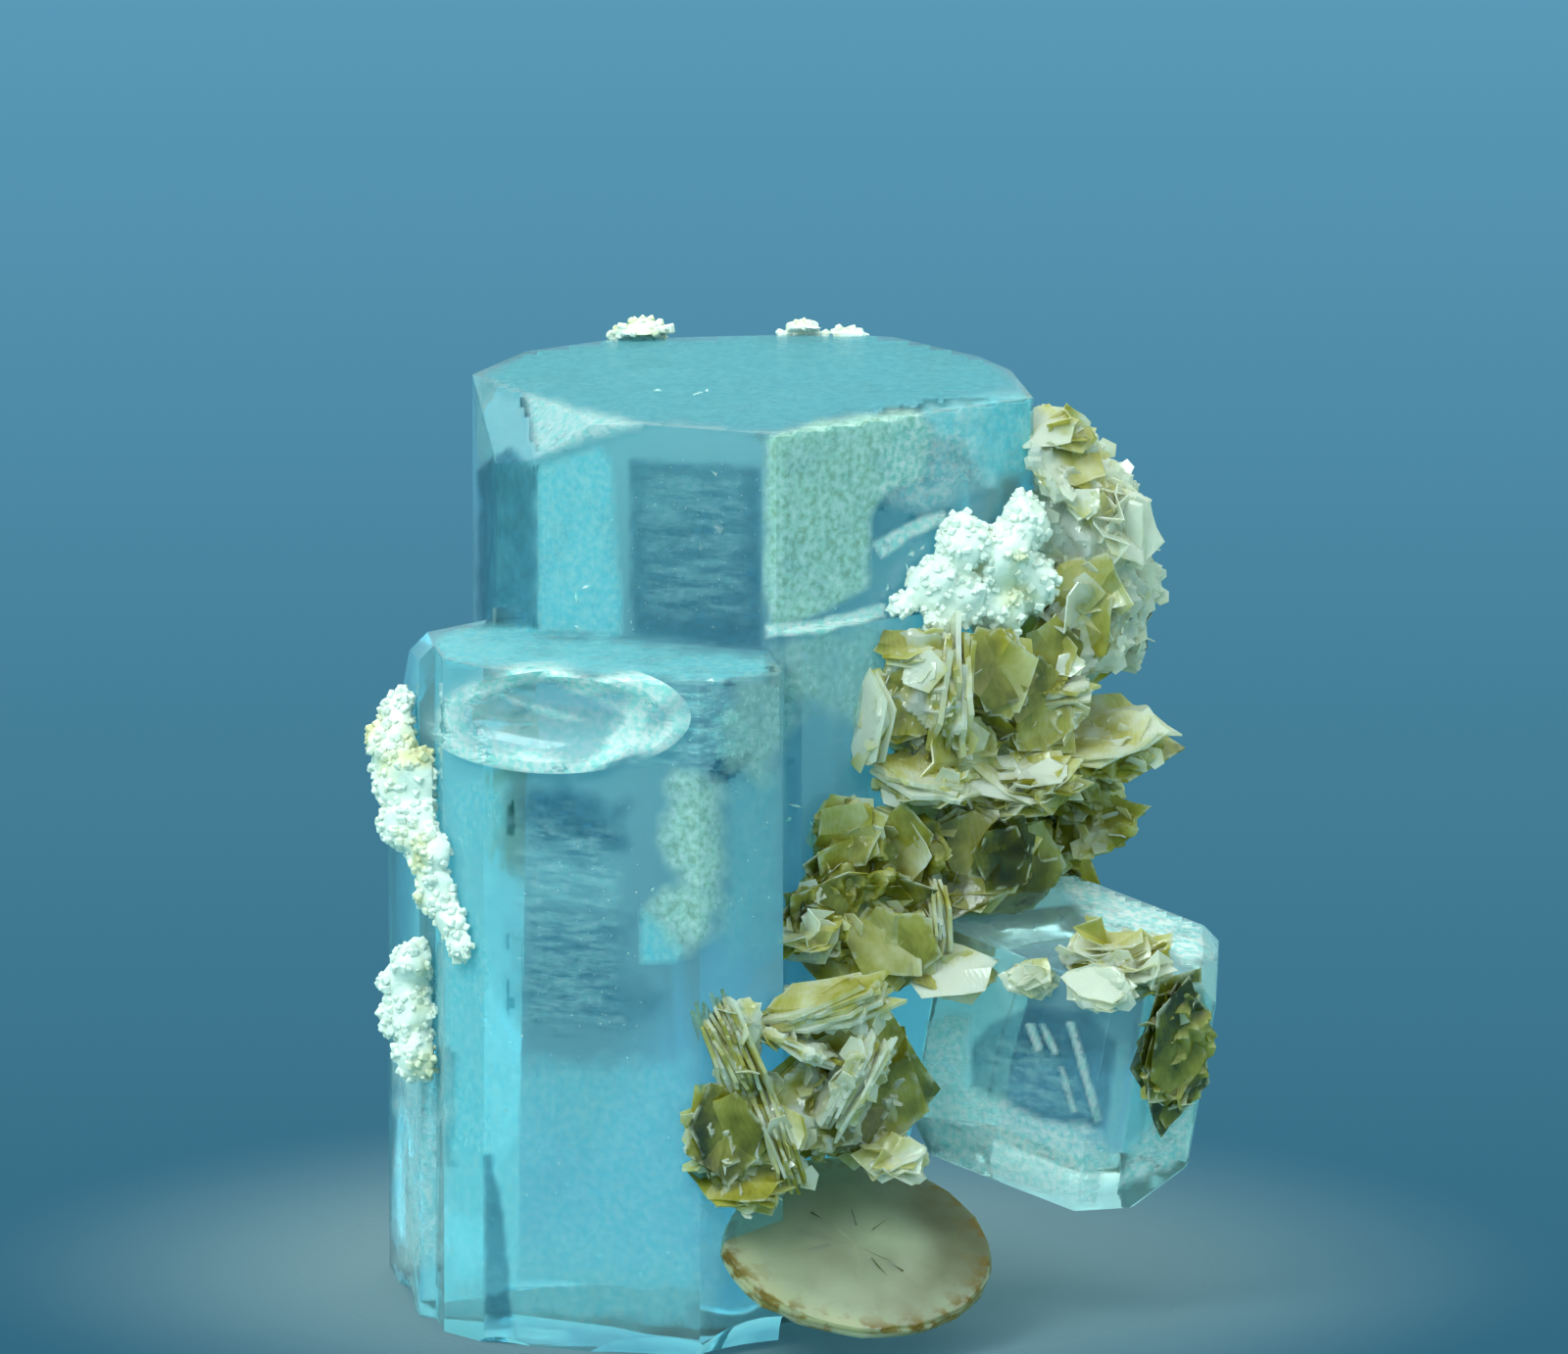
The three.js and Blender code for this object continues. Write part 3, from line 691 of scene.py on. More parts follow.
def glints():
    """Small white chips lying in the breaks of the crystals' faces, and fine specks between them: partly
    broken spots, partly painted glints.
    """
    chance = random.Random("glints")
    pair = bpy.data.objects["beryl_pair"]
    shapes = [model_chip(seed) for seed in (2, 5, 9, 14)]
    wanted = [(x, height, chance.uniform(0.06, 0.15)) for x, height in GLINTS]
    for left, right, low, high, count in SPECKS:
        wanted += [
            (chance.uniform(left, right), chance.uniform(low, high), chance.uniform(0.012, 0.04))
            for _ in range(count)
        ]
    parts = []
    for x, height, size in wanted:
        place = front_frame(x, height)
        hit, spot, normal, _ = pair.ray_cast(place.translation, -heading(0, VIEW_RISE))
        if not hit:
            raise RuntimeError(f"no crystal face at {x}, {height}")
        chip = bpy.data.objects.new("chip", chance.choice(shapes).data.copy())
        bpy.context.scene.collection.objects.link(chip)
        spin = Matrix.Rotation(chance.uniform(0, 6.28), 4, "Z")
        turn = spin @ Matrix.Rotation(chance.gauss(0, 0.4), 4, "X")
        outward = normal.to_track_quat("Z", "Y").to_matrix().to_4x4()
        scale = Matrix.Diagonal((size * MM, chance.uniform(0.3, 0.8) * size * MM, size * MM, 1))
        chip.data.transform(Matrix.Translation(spot) @ outward @ turn @ scale)
        parts.append(chip)
    for shape in shapes:
        bpy.data.objects.remove(shape)
    return join(parts, "beryl_pair_breaks_and_glints")


class SPECIMEN_OT_films(bpy.types.Operator):
    """Lays milky, etched and stained films, painted shade films and small chips with painted glints on the
    crystals' faces
    """

    bl_idname = "specimen.films"
    bl_label = "Films"

    def execute(self, context):
        white = [(0.35, "#aeeef4"), (0.7, "#e6ffff")]
        rime = [(0.35, "#bceef0"), (0.62, "#ffffff")]
        cyan = [(0.35, "#96ecf8"), (0.7, "#c8f8fc")]
        stain = [(0.3, "#bcd6c2"), (0.5, "#d4f2e8"), (0.72, "#f4fffc")]
        turquoise = [(0.35, "#74c2d0"), (0.7, "#8ed2dc")]
        painted_shade = [(0.4, "#1b5f7c"), (0.7, "#2a7fa4")]
        bright = [(0.35, "#c8f6f4"), (0.6, "#ffffff")]
        # from the innermost film outwards
        kinds = {
            "skin": film("satin_growth_face", turquoise, 1.6, (1, 1, 1), 1.0, 0.4, 0.62),
            "milk": film("milky_beryl", cyan, 1.3, (1, 1, 0.5), 0.95, 0.25, 0.55),
            "satin": film("satin_beryl", white, 1.2, (1, 1, 1), 1.0, 0.3, 0.3),
            # painted shade: the dark blue of these films stands in for shade on the crystals' faces
            "shade": film("painted_shade_beryl", painted_shade, 0.9, (0.7, 1, 1.2), 1.0, 0.6, 0.55),
            "wisp": film("fluid_wisps", white, 0.45, (0.3, 1, 2.2), 0.35, 0.14, 0.5),
            "olive": film("stained_beryl", stain, 0.9, (1, 1, 1), 1.0, 0.4, 0.8),
            "frost": film("etched_beryl", rime, 0.5, (0.6, 1, 1.4), 0.7, 0.16, 0.55),
            "rim": film("broken_beryl", bright, 0.35, (0.6, 1, 1), 0.85, 0.12, 0.95),
        }
        made = {}
        order = list(kinds)
        for i, (crystal, kind, *row) in enumerate(sorted(FILMS, key=lambda row: order.index(row[1]))):
            lift = FILM_GAP * (i + 1)
            made.setdefault((crystal, kind), []).append(model_film(crystal, lift, *row))
        made[SCOOP[0], "rim"].append(model_scoop(*SCOOP, FILM_GAP * (len(FILMS) + 1)))
        breaks = glints()
        # painted glints: white chips and specks, partly real broken spots, partly sparkles of light painted
        # white
        finish_piece(breaks, film("breaks_and_painted_glints", bright, 0.5, (1, 1, 1), 1.0, 0.3, 1.0), "aquamarine")
        for (crystal, kind), sheets in made.items():
            slot = "aquamarine_clear" if crystal == "beryl_side" else "aquamarine"
            finish_piece(join(sheets, f"{crystal}_{kind}"), kinds[kind], slot)
        return {"FINISHED"}


# Mica

# Leaf shapes: corners, unevenness, bend in degrees, ripple, thickness, seed. A leaf is two units across.
LEAVES = {
    "flat": [(5, 0.30, 14, 0.12, 0.03, 3), (6, 0.28, -22, 0.16, 0.03, 8), (5, 0.34, 28, 0.14, 0.03, 15)],
    "curl": [(5, 0.30, 80, 0.30, 0.04, 27), (6, 0.28, -65, 0.34, 0.04, 34), (5, 0.34, 50, 0.38, 0.04, 41)],
    "straw": [(5, 0.22, 6, 0.08, 0.13, 48), (6, 0.24, -8, 0.10, 0.13, 55), (5, 0.26, 10, 0.12, 0.13, 62)],
    "flake": [(5, 0.28, 12, 0.20, 0.08, 69), (6, 0.24, -18, 0.16, 0.08, 76), (5, 0.34, 20, 0.20, 0.08, 83)],
}
FAN = {"flat": 6.0, "curl": 18.0, "straw": 2.0}  # how far leaves lean out of their book, in degrees

# Tones run from dark olive at 0 to white at 1. Each cluster's crumpled mass and its loose flakes have one.
MASS_TONE = {
    "mica_crest": 0.95,
    "mica_sheaf": 0.64,
    "mica_shelf": 0.42,
    "mica_fold": 0.22,
    "mica_rosette": 0.6,
    "mica_cap": 0.8,
    "mica_flank": 0.2,
}

# Each book: leaf shape, place, azimuth, elevation, half width, half height, thickness, leaves, tone, turn.
# A straw book is seen on its edge, so it has the direction of that edge and a tilt instead.
BOOKS = {
    "mica_crest": [
        ("flat", (6.45, -1.0, 16.9), 35, 35, 1.0, 0.8, 0.3, 5, 0.75, 10),
        # painted highlight: leaves turned to the key light and coloured white for its flash
        ("flat", (6.7, -1.65, 16.25), -17, 31, 0.5, 0.36, 0.1, 3, 1.0, 20),
        ("curl", (7.35, -1.1, 15.6), 30, 15, 0.85, 1.05, 0.5, 8, 1.0, 0),
        ("curl", (7.5, -0.5, 14.7), 50, 8, 0.8, 1.2, 0.4, 6, 0.9, 0),
        ("flat", (7.5, -0.2, 13.6), 55, -5, 0.8, 1.2, 0.25, 4, 0.2, 0),
        ("curl", (6.6, -1.6, 13.9), 20, 5, 1.0, 1.2, 0.4, 6, 0.6, 0),
        ("flat", (5.95, -2.1, 13.35), -5, 10, 0.8, 0.9, 0.25, 4, 0.42, 0),
        ("curl", (6.2, -0.6, 17.3), 60, 50, 0.8, 0.5, 0.3, 5, 0.8, 0),
        ("flat", (5.85, -1.0, 17.7), 15, 38, 0.85, 0.6, 0.3, 5, 0.85, 0),
        ("curl", (6.25, -0.8, 17.5), 35, 45, 0.9, 0.65, 0.4, 6, 0.7, 0),
        ("flat", (6.5, 1.8, 16.2), 112, 30, 1.4, 1.2, 0.4, 6, 0.5, 0),
        ("curl", (6.9, 1.4, 15.2), 100, 10, 1.2, 1.3, 0.6, 7, 0.6, 0),
        ("flat", (6.7, 1.9, 13.5), 122, -5, 1.4, 1.6, 0.5, 6, 0.42, 0),
    ],
    "mica_sheaf": [
        ("flat", (2.95, -4.35, 12.55), 5, 3, 0.9, 1.0, 0.25, 5, 0.38, 0),
        ("flat", (3.05, -4.3, 13.75), 10, 45, 0.75, 0.45, 0.15, 4, 0.6, 0),
        # painted highlight: leaves turned to the key light and coloured white for its flash
        ("flat", (3.35, -4.5, 13.4), -17, 31, 0.5, 0.42, 0.1, 3, 1.0, 15),
        ("straw", (3.95, -4.0, 12.7), 88, 8, 1.45, 0.85, 0.75, 24, 0.62, 0),
        ("flat", (2.35, -4.75, 12.25), -60, 5, 0.55, 1.05, 0.25, 5, 0.95, 0),
        ("flat", (4.6, -3.4, 12.0), 10, -15, 0.8, 0.5, 0.2, 4, 0.1, 0),
        ("flat", (4.75, -3.3, 13.1), 15, 10, 0.95, 0.95, 0.35, 6, 0.42, 0),
    ],
    "mica_shelf": [
        ("flat", (6.1, -0.6, 10.9), 70, 35, 1.7, 1.7, 1.0, 12, 0.4, 0),
        ("flat", (4.5, -3.3, 11.3), 36, 10, 2.2, 1.1, 0.7, 9, 0.4, 0),
        ("flat", (6.95, -1.65, 11.35), 0, 68, 1.6, 1.35, 0.3, 8, 0.58, 8),
        ("curl", (5.3, -3.4, 10.9), 0, 55, 1.3, 0.8, 0.5, 11, 0.7, 0),
        ("flat", (5.5, -3.2, 10.7), 10, 74, 1.35, 1.05, 0.3, 7, 0.6, 0),
        ("straw", (3.4, -4.7, 11.15), -14, 20, 1.15, 0.7, 0.3, 14, 0.8, 0),
        # painted highlight: leaves turned to the key light and coloured white for its flash
        ("flat", (6.4, -2.35, 13.05), -17, 31, 0.38, 0.32, 0.1, 2, 1.0, 0),
        ("straw", (6.1, -2.3, 12.55), 6, 20, 0.85, 0.5, 0.2, 9, 0.85, 0),
        ("flat", (6.75, -1.4, 9.5), -20, 38, 1.4, 0.62, 0.1, 3, 0.4, 33),
        ("flat", (5.6, -2.6, 12.2), 20, 12, 1.1, 1.15, 0.5, 8, 0.3, 0),
        ("flat", (6.6, 1.5, 10.4), 112, 20, 1.6, 1.5, 0.5, 8, 0.5, 0),
    ],
    "mica_fold": [
        ("flat", (4.9, -2.5, 8.7), 40, 5, 1.5, 1.6, 0.9, 10, 0.35, 0),
        ("flat", (2.7, -4.75, 9.1), 30, 6, 2.3, 1.5, 0.6, 8, 0.35, 0),
        ("flat", (1.65, -5.9, 8.6), 30, 10, 1.5, 1.0, 0.5, 7, 0.35, 0),
        ("flat", (6.0, -0.7, 9.1), 72, 8, 2.0, 0.9, 0.7, 8, 0.35, 0),
        ("flat", (4.1, -4.2, 9.45), 0, 8, 1.65, 1.15, 0.3, 5, 0.4, 0),
        ("flat", (4.97, -4.85, 9.6), 8, -8, 0.68, 0.85, 0.12, 3, 0.0, 0),
        ("flat", (1.9, -5.45, 10.15), -8, 3, 0.85, 0.9, 0.2, 4, 0.5, 0),
        ("flat", (2.9, -4.95, 9.9), -20, 5, 0.8, 1.05, 0.2, 4, 0.44, 0),
        ("flat", (2.3, -5.6, 8.95), 0, -25, 1.15, 0.6, 0.25, 4, 0.2, 0),
        # painted highlight: leaves turned to the key light and coloured white for its flash
        ("flat", (1.1, -6.3, 9.15), -17, 31, 0.38, 0.38, 0.1, 3, 1.0, 0),
        ("curl", (1.0, -6.6, 8.35), -15, 50, 0.9, 0.6, 0.3, 6, 0.8, 0),
        ("flat", (2.75, -5.9, 7.95), 12, 10, 1.1, 1.0, 0.25, 5, 0.42, 0),
        ("flat", (1.6, -6.2, 7.75), 0, -10, 0.75, 0.5, 0.2, 4, 0.12, 0),
        ("straw", (3.7, -5.3, 8.4), 97, 10, 0.85, 0.5, 0.35, 12, 0.65, 0),
        ("flat", (3.95, -5.6, 7.3), 10, 30, 1.0, 0.65, 0.2, 4, 0.55, 0),
        ("flat", (6.3, 0.9, 7.9), 95, 25, 1.8, 1.4, 0.5, 8, 0.45, 0),
    ],
    "mica_rosette": [
        ("flat", (1.95, -6.7, 5.2), 8, 4, 1.55, 1.65, 0.35, 6, 0.33, 0),
        ("flat", (1.2, -7.3, 5.0), 25, 8, 1.15, 1.2, 0.6, 6, 0.36, 0),
        ("straw", (-0.5, -8.45, 6.3), 115, 10, 1.2, 0.6, 0.75, 26, 0.66, 0),
        ("straw", (1.35, -7.8, 7.1), 16, 14, 1.45, 0.65, 0.48, 18, 0.7, 0),
        ("straw", (0.85, -8.1, 6.35), -26, 10, 0.9, 0.5, 0.2, 9, 0.9, 0),
        ("straw", (1.85, -7.95, 5.65), 63, 10, 1.2, 0.55, 0.36, 14, 0.82, 0),
        ("straw", (2.15, -7.95, 5.5), 60, 10, 1.1, 0.5, 0.16, 8, 1.0, 0),
        ("flat", (-0.6, -8.8, 4.7), 15, 8, 1.05, 1.3, 0.2, 5, 0.33, 0),
        ("straw", (0.45, -8.35, 4.5), 111, 10, 1.3, 0.5, 0.45, 15, 0.6, 0),
        ("flat", (0.75, -8.5, 4.75), 0, 5, 0.34, 0.5, 0.08, 2, 0.66, 28),
        ("flat", (-0.2, -8.6, 3.6), 20, 45, 1.1, 0.75, 0.2, 5, 0.45, 0),
        ("curl", (2.8, -7.5, 3.9), 0, 60, 0.8, 0.55, 0.25, 5, 0.9, 0),
    ],
    "mica_cap": [
        # painted highlight: leaves turned to the key light and coloured white for its flash
        ("flat", (6.9, -6.8, 7.3), -17, 31, 0.75, 0.55, 0.15, 4, 1.0, 0),
        ("curl", (7.8, -6.3, 7.5), 25, 45, 0.85, 0.7, 0.3, 6, 0.75, 0),
        ("curl", (7.25, -6.1, 7.85), 0, 75, 1.25, 0.6, 0.35, 8, 0.65, 0),
        ("curl", (5.55, -6.15, 7.35), -20, 30, 0.7, 0.45, 0.25, 6, 0.95, 0),
    ],
    "mica_flank": [("flat", (8.5, -6.1, 5.9), 30, -12, 0.9, 1.6, 0.35, 7, 0.15, 0)],
}


def edge_on(at, angle, tilt):
    """A frame whose X axis runs at an angle across the front view, with its leaves seen on their edges."""
    a, t = math.radians(angle), math.radians(tilt)
    x = Vector((math.cos(a), 0, math.sin(a)))
    z = Vector((-math.sin(a) * math.cos(t), -math.sin(t), math.cos(a) * math.cos(t)))
    basis = Matrix((x, z.cross(x), z)).transposed().to_4x4()
    return Matrix.Translation(Vector(at) * MM) @ basis


def model_leaf(kind, corners, uneven, bend, ripple, thickness, seed):
    """One mica leaf: a torn plate with a rim, bent and rippled."""
    leaf = new_primitive("circle", vertices=corners, radius=1.0, fill_type="NGON")
    leaf.name = f"{kind}_leaf_{seed}"
    edit(leaf)
    bpy.ops.transform.vertex_random(offset=uneven, uniform=0.0, normal=0.0, seed=seed)
    bpy.ops.transform.resize(value=(1, 1, 0))
    if kind != "flake":
        bpy.ops.mesh.subdivide(number_cuts=2)
        bpy.ops.transform.vertex_random(offset=0.06, uniform=0.0, normal=0.0, seed=seed + 1)
        bpy.ops.transform.resize(value=(1, 1, 0))
    border = len(leaf.data.vertices) if kind == "flake" else 3 * corners
    if kind != "flake":
        bpy.ops.mesh.inset(thickness=0.1)
    bpy.ops.mesh.poke()
    done()
    set_values(leaf.data, "rim", [1.0 if v.index < border else 0.0 for v in leaf.data.vertices])
    cloud = bpy.data.textures.new(leaf.name, "CLOUDS")
    cloud.noise_scale = 0.8
    modify(
        leaf,
        "DISPLACE",
        texture=cloud,
        strength=ripple,
        mid_level=0.5,
        direction="Z",
        texture_coords="LOCAL",
    )
    modify(leaf, "SIMPLE_DEFORM", deform_method="BEND", deform_axis="Y", angle=math.radians(bend))
    modify(leaf, "SOLIDIFY", thickness=thickness, offset=0.0)
    only(leaf)
    bpy.ops.object.shade_smooth_by_angle(angle=math.radians(35))
    return leaf


def books(name, rows, leaves):
    """Copies of the leaves, stacked into the books of one cluster."""
    chance = random.Random(name)
    parts = []
    for kind, at, azimuth, elevation, wide, tall, thick, count, tone, turn in rows:
        place = edge_on(at, azimuth, elevation) if kind == "straw" else facing(at, azimuth, elevation, turn)
        for i in range(count):
            height = (i / max(count - 1, 1) - 0.5) * thick * MM
            lean = [math.radians(chance.gauss(0, FAN[kind] / 2)) for _ in range(2)]
            size = chance.uniform(0.7, 1.0)
            slide = [chance.uniform(-0.12, 0.12) * wide * MM, chance.uniform(-0.12, 0.12) * tall * MM, height]
            stretch = Matrix.Diagonal((wide * size * MM, tall * size * MM, min(wide, tall) * MM, 1.0))
            spin = Matrix.Rotation(chance.uniform(0, 2 * math.pi), 4, "Z")
            leaf = chance.choice(leaves[kind])
            part = bpy.data.objects.new(name, leaf.data.copy())
            tilt = Euler((*lean, 0.0)).to_matrix().to_4x4()
            part.data.transform(place @ Matrix.Translation(slide) @ tilt @ stretch @ spin)
            shade = min(1.0, max(0.0, chance.gauss(tone, 0.12)))
            way = chance.uniform(0, 2 * math.pi)
            grade = [0.22 * (v.co.x * math.cos(way) + v.co.y * math.sin(way)) for v in leaf.data.vertices]
            set_values(part.data, "tone", [min(1.0, max(0.0, shade + g)) for g in grade])
            bpy.context.scene.collection.objects.link(part)
            parts.append(part)
    return parts


def crumpled(node, piece, tone, folds, crumbs):
    """A crumpled mass from a CAD cluster, with painted light on its ridges and painted shade in its hollows.
    """
    mass = copy_of(node, piece)
    modify(mass, "REMESH", mode="VOXEL", voxel_size=VOXEL)
    before = [v.co.copy() for v in mass.data.vertices]
    outward = [v.normal.copy() for v in mass.data.vertices]
    modify(mass, "DISPLACE", texture=folds, strength=0.2 * MM, mid_level=0.85, texture_coords="LOCAL")
    modify(mass, "DISPLACE", texture=crumbs, strength=-0.1 * MM, mid_level=0.5, texture_coords="LOCAL")
    rise = [(v.co - old).dot(way) / MM for v, old, way in zip(mass.data.vertices, before, outward)]
    # painted light and shade: paler where the surface was pushed out, darker where it was pushed in
    set_values(mass.data, "tone", [min(1.0, max(0.0, tone + 0.1 + 2.0 * r)) for r in rise])
    only(mass)
    bpy.ops.object.shade_smooth_by_angle(angle=math.radians(28))
    return mass


class SPECIMEN_OT_mica(bpy.types.Operator):
    """Crumples the mica clusters and sets leaves, books and loose flakes on them"""

    bl_idname = "specimen.mica"
    bl_label = "Mica"

    def execute(self, context):
        leaves = {kind: [model_leaf(kind, *shape) for shape in shapes] for kind, shapes in LEAVES.items()}
        olive = [
            (0.0, "#1c2208"),
            (0.16, "#54581a"),
            (0.36, "#9c962a"),
            (0.58, "#d4ca5e"),
            (0.8, "#f0eab6"),
            (1.0, "#ffffff"),
        ]
        material = muscovite("muscovite_leaf", olive, "#f1efdf", 0.03, 0.8, 0.28)
        folds = bpy.data.textures.new("mica_folds", "MUSGRAVE")
        folds.musgrave_type = "RIDGED_MULTIFRACTAL"
        folds.noise_scale = 0.6 * MM
        crumbs = bpy.data.textures.new("mica_crumbs", "VORONOI")
        crumbs.noise_scale = 0.3 * MM
        for name, tone in MASS_TONE.items():
            mass = crumpled(name, name + "_leaves", tone, folds, crumbs)
            tones = (tone - 0.1, tone + 0.6)
            flakes = scattered(mass, leaves["flake"], 3.0, (0.1, 0.34), 36, tones, name + "_flakes")
            parts = [mass, *books(name, BOOKS[name], leaves), *flakes]
            finish_piece(join(parts, name + "_leaves"), material, "muscovite", name)
        for leaf in [leaf for shapes in leaves.values() for leaf in shapes]:
            bpy.data.objects.remove(leaf)
        return {"FINISHED"}


# Disc: place, azimuth, elevation, half width, half height, as in the CAD part.
DISC = ((2.0, -7.55, 2.12), 24, 56, 2.9, 2.5)
DISC_SHEETS = [(0.0, 1.0, -50.0), (0.08, 0.985, 24.0), (0.16, 0.97, 0.0)]  # height, size, turn


class SPECIMEN_OT_disc(bpy.types.Operator):
    """Models the smooth grey-brown mica disc at the foot"""

    bl_idname = "specimen.disc"
    bl_label = "Mica disc"

    def execute(self, context):
        at, azimuth, elevation, wide, tall = DISC
        sheet = new_primitive("circle", vertices=40, radius=1.0, fill_type="NGON")
        edit(sheet)
        bpy.ops.transform.vertex_random(offset=0.022, uniform=0.0, normal=0.0, seed=5)
        bpy.ops.transform.resize(value=(1, 1, 0))
        for step in (0.03, 0.07, 0.2, 0.25, 0.25):
            bpy.ops.mesh.inset(thickness=step)
        bpy.ops.mesh.poke()
        done()
        reach = [math.hypot(v.co.x, v.co.y) for v in sheet.data.vertices]
        set_values(sheet.data, "rim", [max(0.0, (r - 0.86) / 0.14) for r in reach])
        stains = [0.8 - 0.22 * math.exp(-(((r - 0.62) / 0.14) ** 2)) for r in reach]
        patches = [0.4 * noise.noise(v.co * 1.7) - 0.3 * v.co.x for v in sheet.data.vertices]
        set_values(sheet.data, "tone", [a + b for a, b in zip(stains, patches)])
        cloud = bpy.data.textures.new("disc_waves", "CLOUDS")
        cloud.noise_scale = 1.1
        modify(
            sheet,
            "DISPLACE",
            texture=cloud,
            strength=0.04,
            mid_level=0.5,
            direction="Z",
            texture_coords="LOCAL",
        )
        modify(sheet, "SOLIDIFY", thickness=0.025, offset=0.0)
        parts = []
        for height, size, turn in DISC_SHEETS:
            part = bpy.data.objects.new("mica_disc_plate", sheet.data.copy())
            stretch = Matrix.Diagonal((wide * size * MM, tall * size * MM, tall * MM, 1.0))
            spin = Matrix.Rotation(math.radians(turn), 4, "Z")
            lift = Matrix.Translation((0, 0, (height - 0.1) * MM))
            part.data.transform(facing(at, azimuth, elevation) @ lift @ stretch @ spin)
            context.scene.collection.objects.link(part)
            parts.append(part)
        bpy.data.objects.remove(sheet)
        stained = [(0.0, "#8f8a70"), (0.3, "#b6b4a2"), (0.55, "#d2d4c8"), (0.8, "#e4e8de"), (1.0, "#f4f2e2")]
        plate = join(parts, "mica_disc_plate")
        only(plate)
        bpy.ops.object.shade_smooth_by_angle(angle=math.radians(30))
        material = muscovite("muscovite_stained", stained, "#b08d4c", 0.0, 0.3, 0.5)
        finish_piece(plate, material, "muscovite_stained", "mica_disc")
        return {"FINISHED"}


# Albite


def model_grain(seed):
    """One albite grain, two units across: a block with its corners cut."""
    grain = new_primitive("cube", size=1.6)
    edit(grain)
    bpy.ops.transform.vertex_random(offset=0.3, uniform=0.0, normal=0.0, seed=seed)
    bpy.ops.mesh.bevel(offset=0.25, segments=1, affect="EDGES")
    done()
    return grain


class SPECIMEN_OT_albite(bpy.types.Operator):
    """Roughens the albite lumps and grows grains on them"""

    bl_idname = "specimen.albite"
    bl_label = "Albite"

    def execute(self, context):
        grain = context.scene.specimen_sizes.grain / MM
        material = albite()
        cells = bpy.data.textures.new("albite_cells", "VORONOI")
        cells.noise_scale = 2 * grain * MM
        grains = [model_grain(seed) for seed in (4, 11, 18)]
        for node in [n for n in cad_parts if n.startswith("albite")]:
            crust = copy_of(node, node + "_crust")
            modify(crust, "REMESH", mode="VOXEL", voxel_size=VOXEL)
            pits = -0.06 * MM
            modify(crust, "DISPLACE", texture=cells, strength=pits, mid_level=0.5, texture_coords="LOCAL")
            only(crust)
            bpy.ops.object.shade_smooth_by_angle(angle=math.radians(30))
            bits = scattered(crust, grains, 22, (0.2 * grain, 0.48 * grain), 40, (0.0, 1.0), node)
            finish_piece(join([crust, *bits], node + "_crust"), material, "albite", node)
        for shape in grains:
            bpy.data.objects.remove(shape)
        return {"FINISHED"}


# Stage


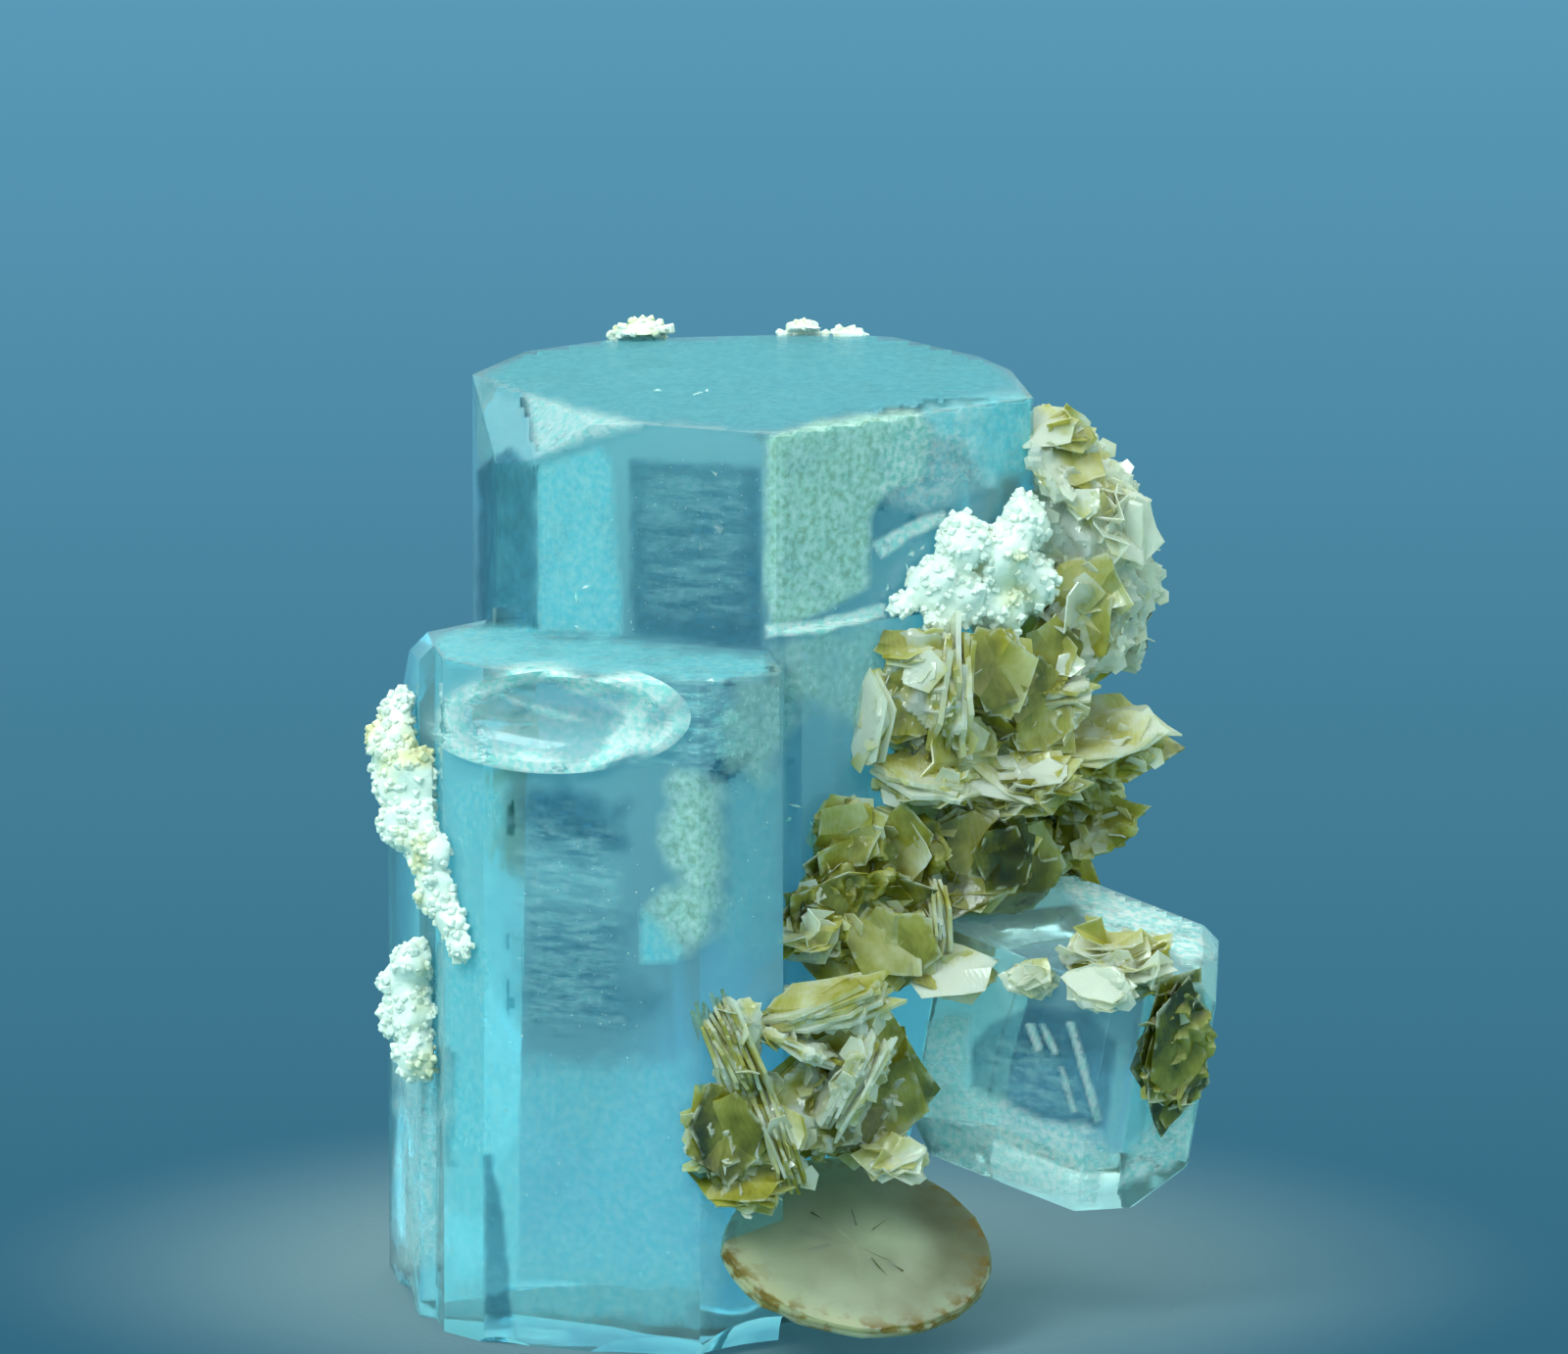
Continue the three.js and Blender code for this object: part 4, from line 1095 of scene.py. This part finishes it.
class SPECIMEN_OT_stage(bpy.types.Operator):
    """Lays a pale floor, lights the specimen softly and points the camera"""

    bl_idname = "specimen.stage"
    bl_label = "Stage"

    def execute(self, context):
        scene = context.scene
        floor = new_primitive("circle", vertices=96, radius=scene.specimen_sizes.floor, fill_type="NGON")
        floor.name = "floor"
        material, tree = new_material("pale_card")
        where = add(tree, "TexCoord").outputs["Object"]
        reach = add(tree, "VectorMath", {0: where}, operation="LENGTH").outputs["Value"]
        fade = add(
            tree,
            "MapRange",
            {"Value": reach, "From Min": 2 * MM, "From Max": 17 * MM},
            interpolation_type="SMOOTHSTEP",
        ).outputs["Result"]
        pale = (*scene.specimen_colours.floor, 1.0)
        card = add(tree, "BsdfPrincipled", {"Base Color": pale, "Roughness": 0.8})
        clear = add(tree, "BsdfTransparent")
        both = add(tree, "MixShader", {"Fac": fade, 1: card.outputs["BSDF"], 2: clear.outputs["BSDF"]})
        add(tree, "OutputMaterial", {"Surface": both.outputs["Shader"]})
        floor.data.materials.append(material)

        world = bpy.data.worlds.new("soft_studio")
        scene.world = world
        world.use_nodes = True
        tree = world.node_tree
        tree.nodes.clear()
        way = add(tree, "TexCoord").outputs["Generated"]
        axes = add(tree, "SeparateXYZ", {"Vector": way})
        up = axes.outputs["Z"]
        rise = add(tree, "MapRange", {"Value": up, "From Min": -0.3, "From Max": 1.0}).outputs["Result"]
        around = add(
            tree,
            "ValToRGB",
            {"Fac": rise},
            [(0.0, "#6cb6bd"), (0.14, "#93dadb"), (0.3, "#a8e4e2"), (0.55, "#cdf4ee"), (0.8, "#ecfff8")],
        ).outputs["Color"]
        back = add(
            tree,
            "ValToRGB",
            {"Fac": rise},
            [(0.066, "#326880"), (0.083, "#447f98"), (0.102, "#5a9ab8"), (0.2, "#6aa9c0"), (0.5, "#c2e8ea")],
        ).outputs["Color"]
        behind = add(
            tree,
            "MapRange",
            {"Value": axes.outputs["Y"], "From Min": 0.80, "From Max": 0.95},
            interpolation_type="SMOOTHSTEP",
        ).outputs["Result"]
        sides = {"Factor": behind, "A": around, "B": back}
        colour = add(tree, "Mix", sides, data_type="RGBA").outputs["Result"]
        light = add(
            tree,
            "MapRange",
            {"Value": up, "From Min": 0.25, "From Max": 0.9, "To Min": 1.0, "To Max": 1.7},
        )
        sky = add(tree, "Background", {"Color": colour, "Strength": light.outputs["Result"]})
        add(tree, "OutputWorld", {"Surface": sky.outputs["Background"]})

        lamp = bpy.data.lights.new("key_softbox", "AREA")
        lamp.energy = 0.36
        lamp.size = 0.1
        lamp.color = linear("#eafffa")[:3]
        key = bpy.data.objects.new("key_softbox", lamp)
        scene.collection.objects.link(key)
        key.location = Vector((-110, -150, 190)) * MM
        key.rotation_euler = (Vector((0, 0, 9)) * MM - key.location).to_track_quat("-Z", "Y").to_euler()

        camera = bpy.data.cameras.new("camera")
        camera.sensor_fit = "HORIZONTAL"
        distance = 0.6
        camera.lens = camera.sensor_width * distance / (32 * MM)
        camera.clip_start = 0.01
        eye = bpy.data.objects.new("camera", camera)
        scene.collection.objects.link(eye)
        aim = Vector((0.57, 0, 12.36)) * MM
        eye.location = aim + heading(0, VIEW_RISE) * distance
        eye.rotation_euler = (aim - eye.location).to_track_quat("-Z", "Y").to_euler()
        scene.camera = eye
        scene.view_settings.view_transform = "Standard"
        return {"FINISHED"}


class SPECIMEN_PT_panel(bpy.types.Panel):
    """Lists the steps that build the specimen"""

    bl_idname = "SPECIMEN_PT_panel"
    bl_label = "Specimen"
    bl_space_type = "VIEW_3D"
    bl_region_type = "UI"
    bl_category = "Specimen"

    def draw(self, context):
        for operator in OPERATORS:
            self.layout.operator(operator.bl_idname)
        for group in (context.scene.specimen_sizes, context.scene.specimen_colours):
            for name in group.__annotations__:
                self.layout.prop(group, name)


GROUPS = (SpecimenSizes, SpecimenColours)
OPERATORS = (
    SPECIMEN_OT_stage,
    SPECIMEN_OT_crystals,
    SPECIMEN_OT_films,
    SPECIMEN_OT_mica,
    SPECIMEN_OT_disc,
    SPECIMEN_OT_albite,
)
CLASSES = (*GROUPS, *OPERATORS, SPECIMEN_PT_panel)


def register():
    for cls in CLASSES:
        bpy.utils.register_class(cls)
    bpy.types.Scene.specimen_sizes = bpy.props.PointerProperty(type=SpecimenSizes)
    bpy.types.Scene.specimen_colours = bpy.props.PointerProperty(type=SpecimenColours)


def unregister():
    del bpy.types.Scene.specimen_colours
    del bpy.types.Scene.specimen_sizes
    for cls in reversed(CLASSES):
        bpy.utils.unregister_class(cls)


def main():
    register()
    bpy.ops.specimen.stage()
    bpy.ops.specimen.crystals()
    bpy.ops.specimen.films()
    bpy.ops.specimen.mica()
    bpy.ops.specimen.disc()
    bpy.ops.specimen.albite()


if __name__ == "__main__":
    main()
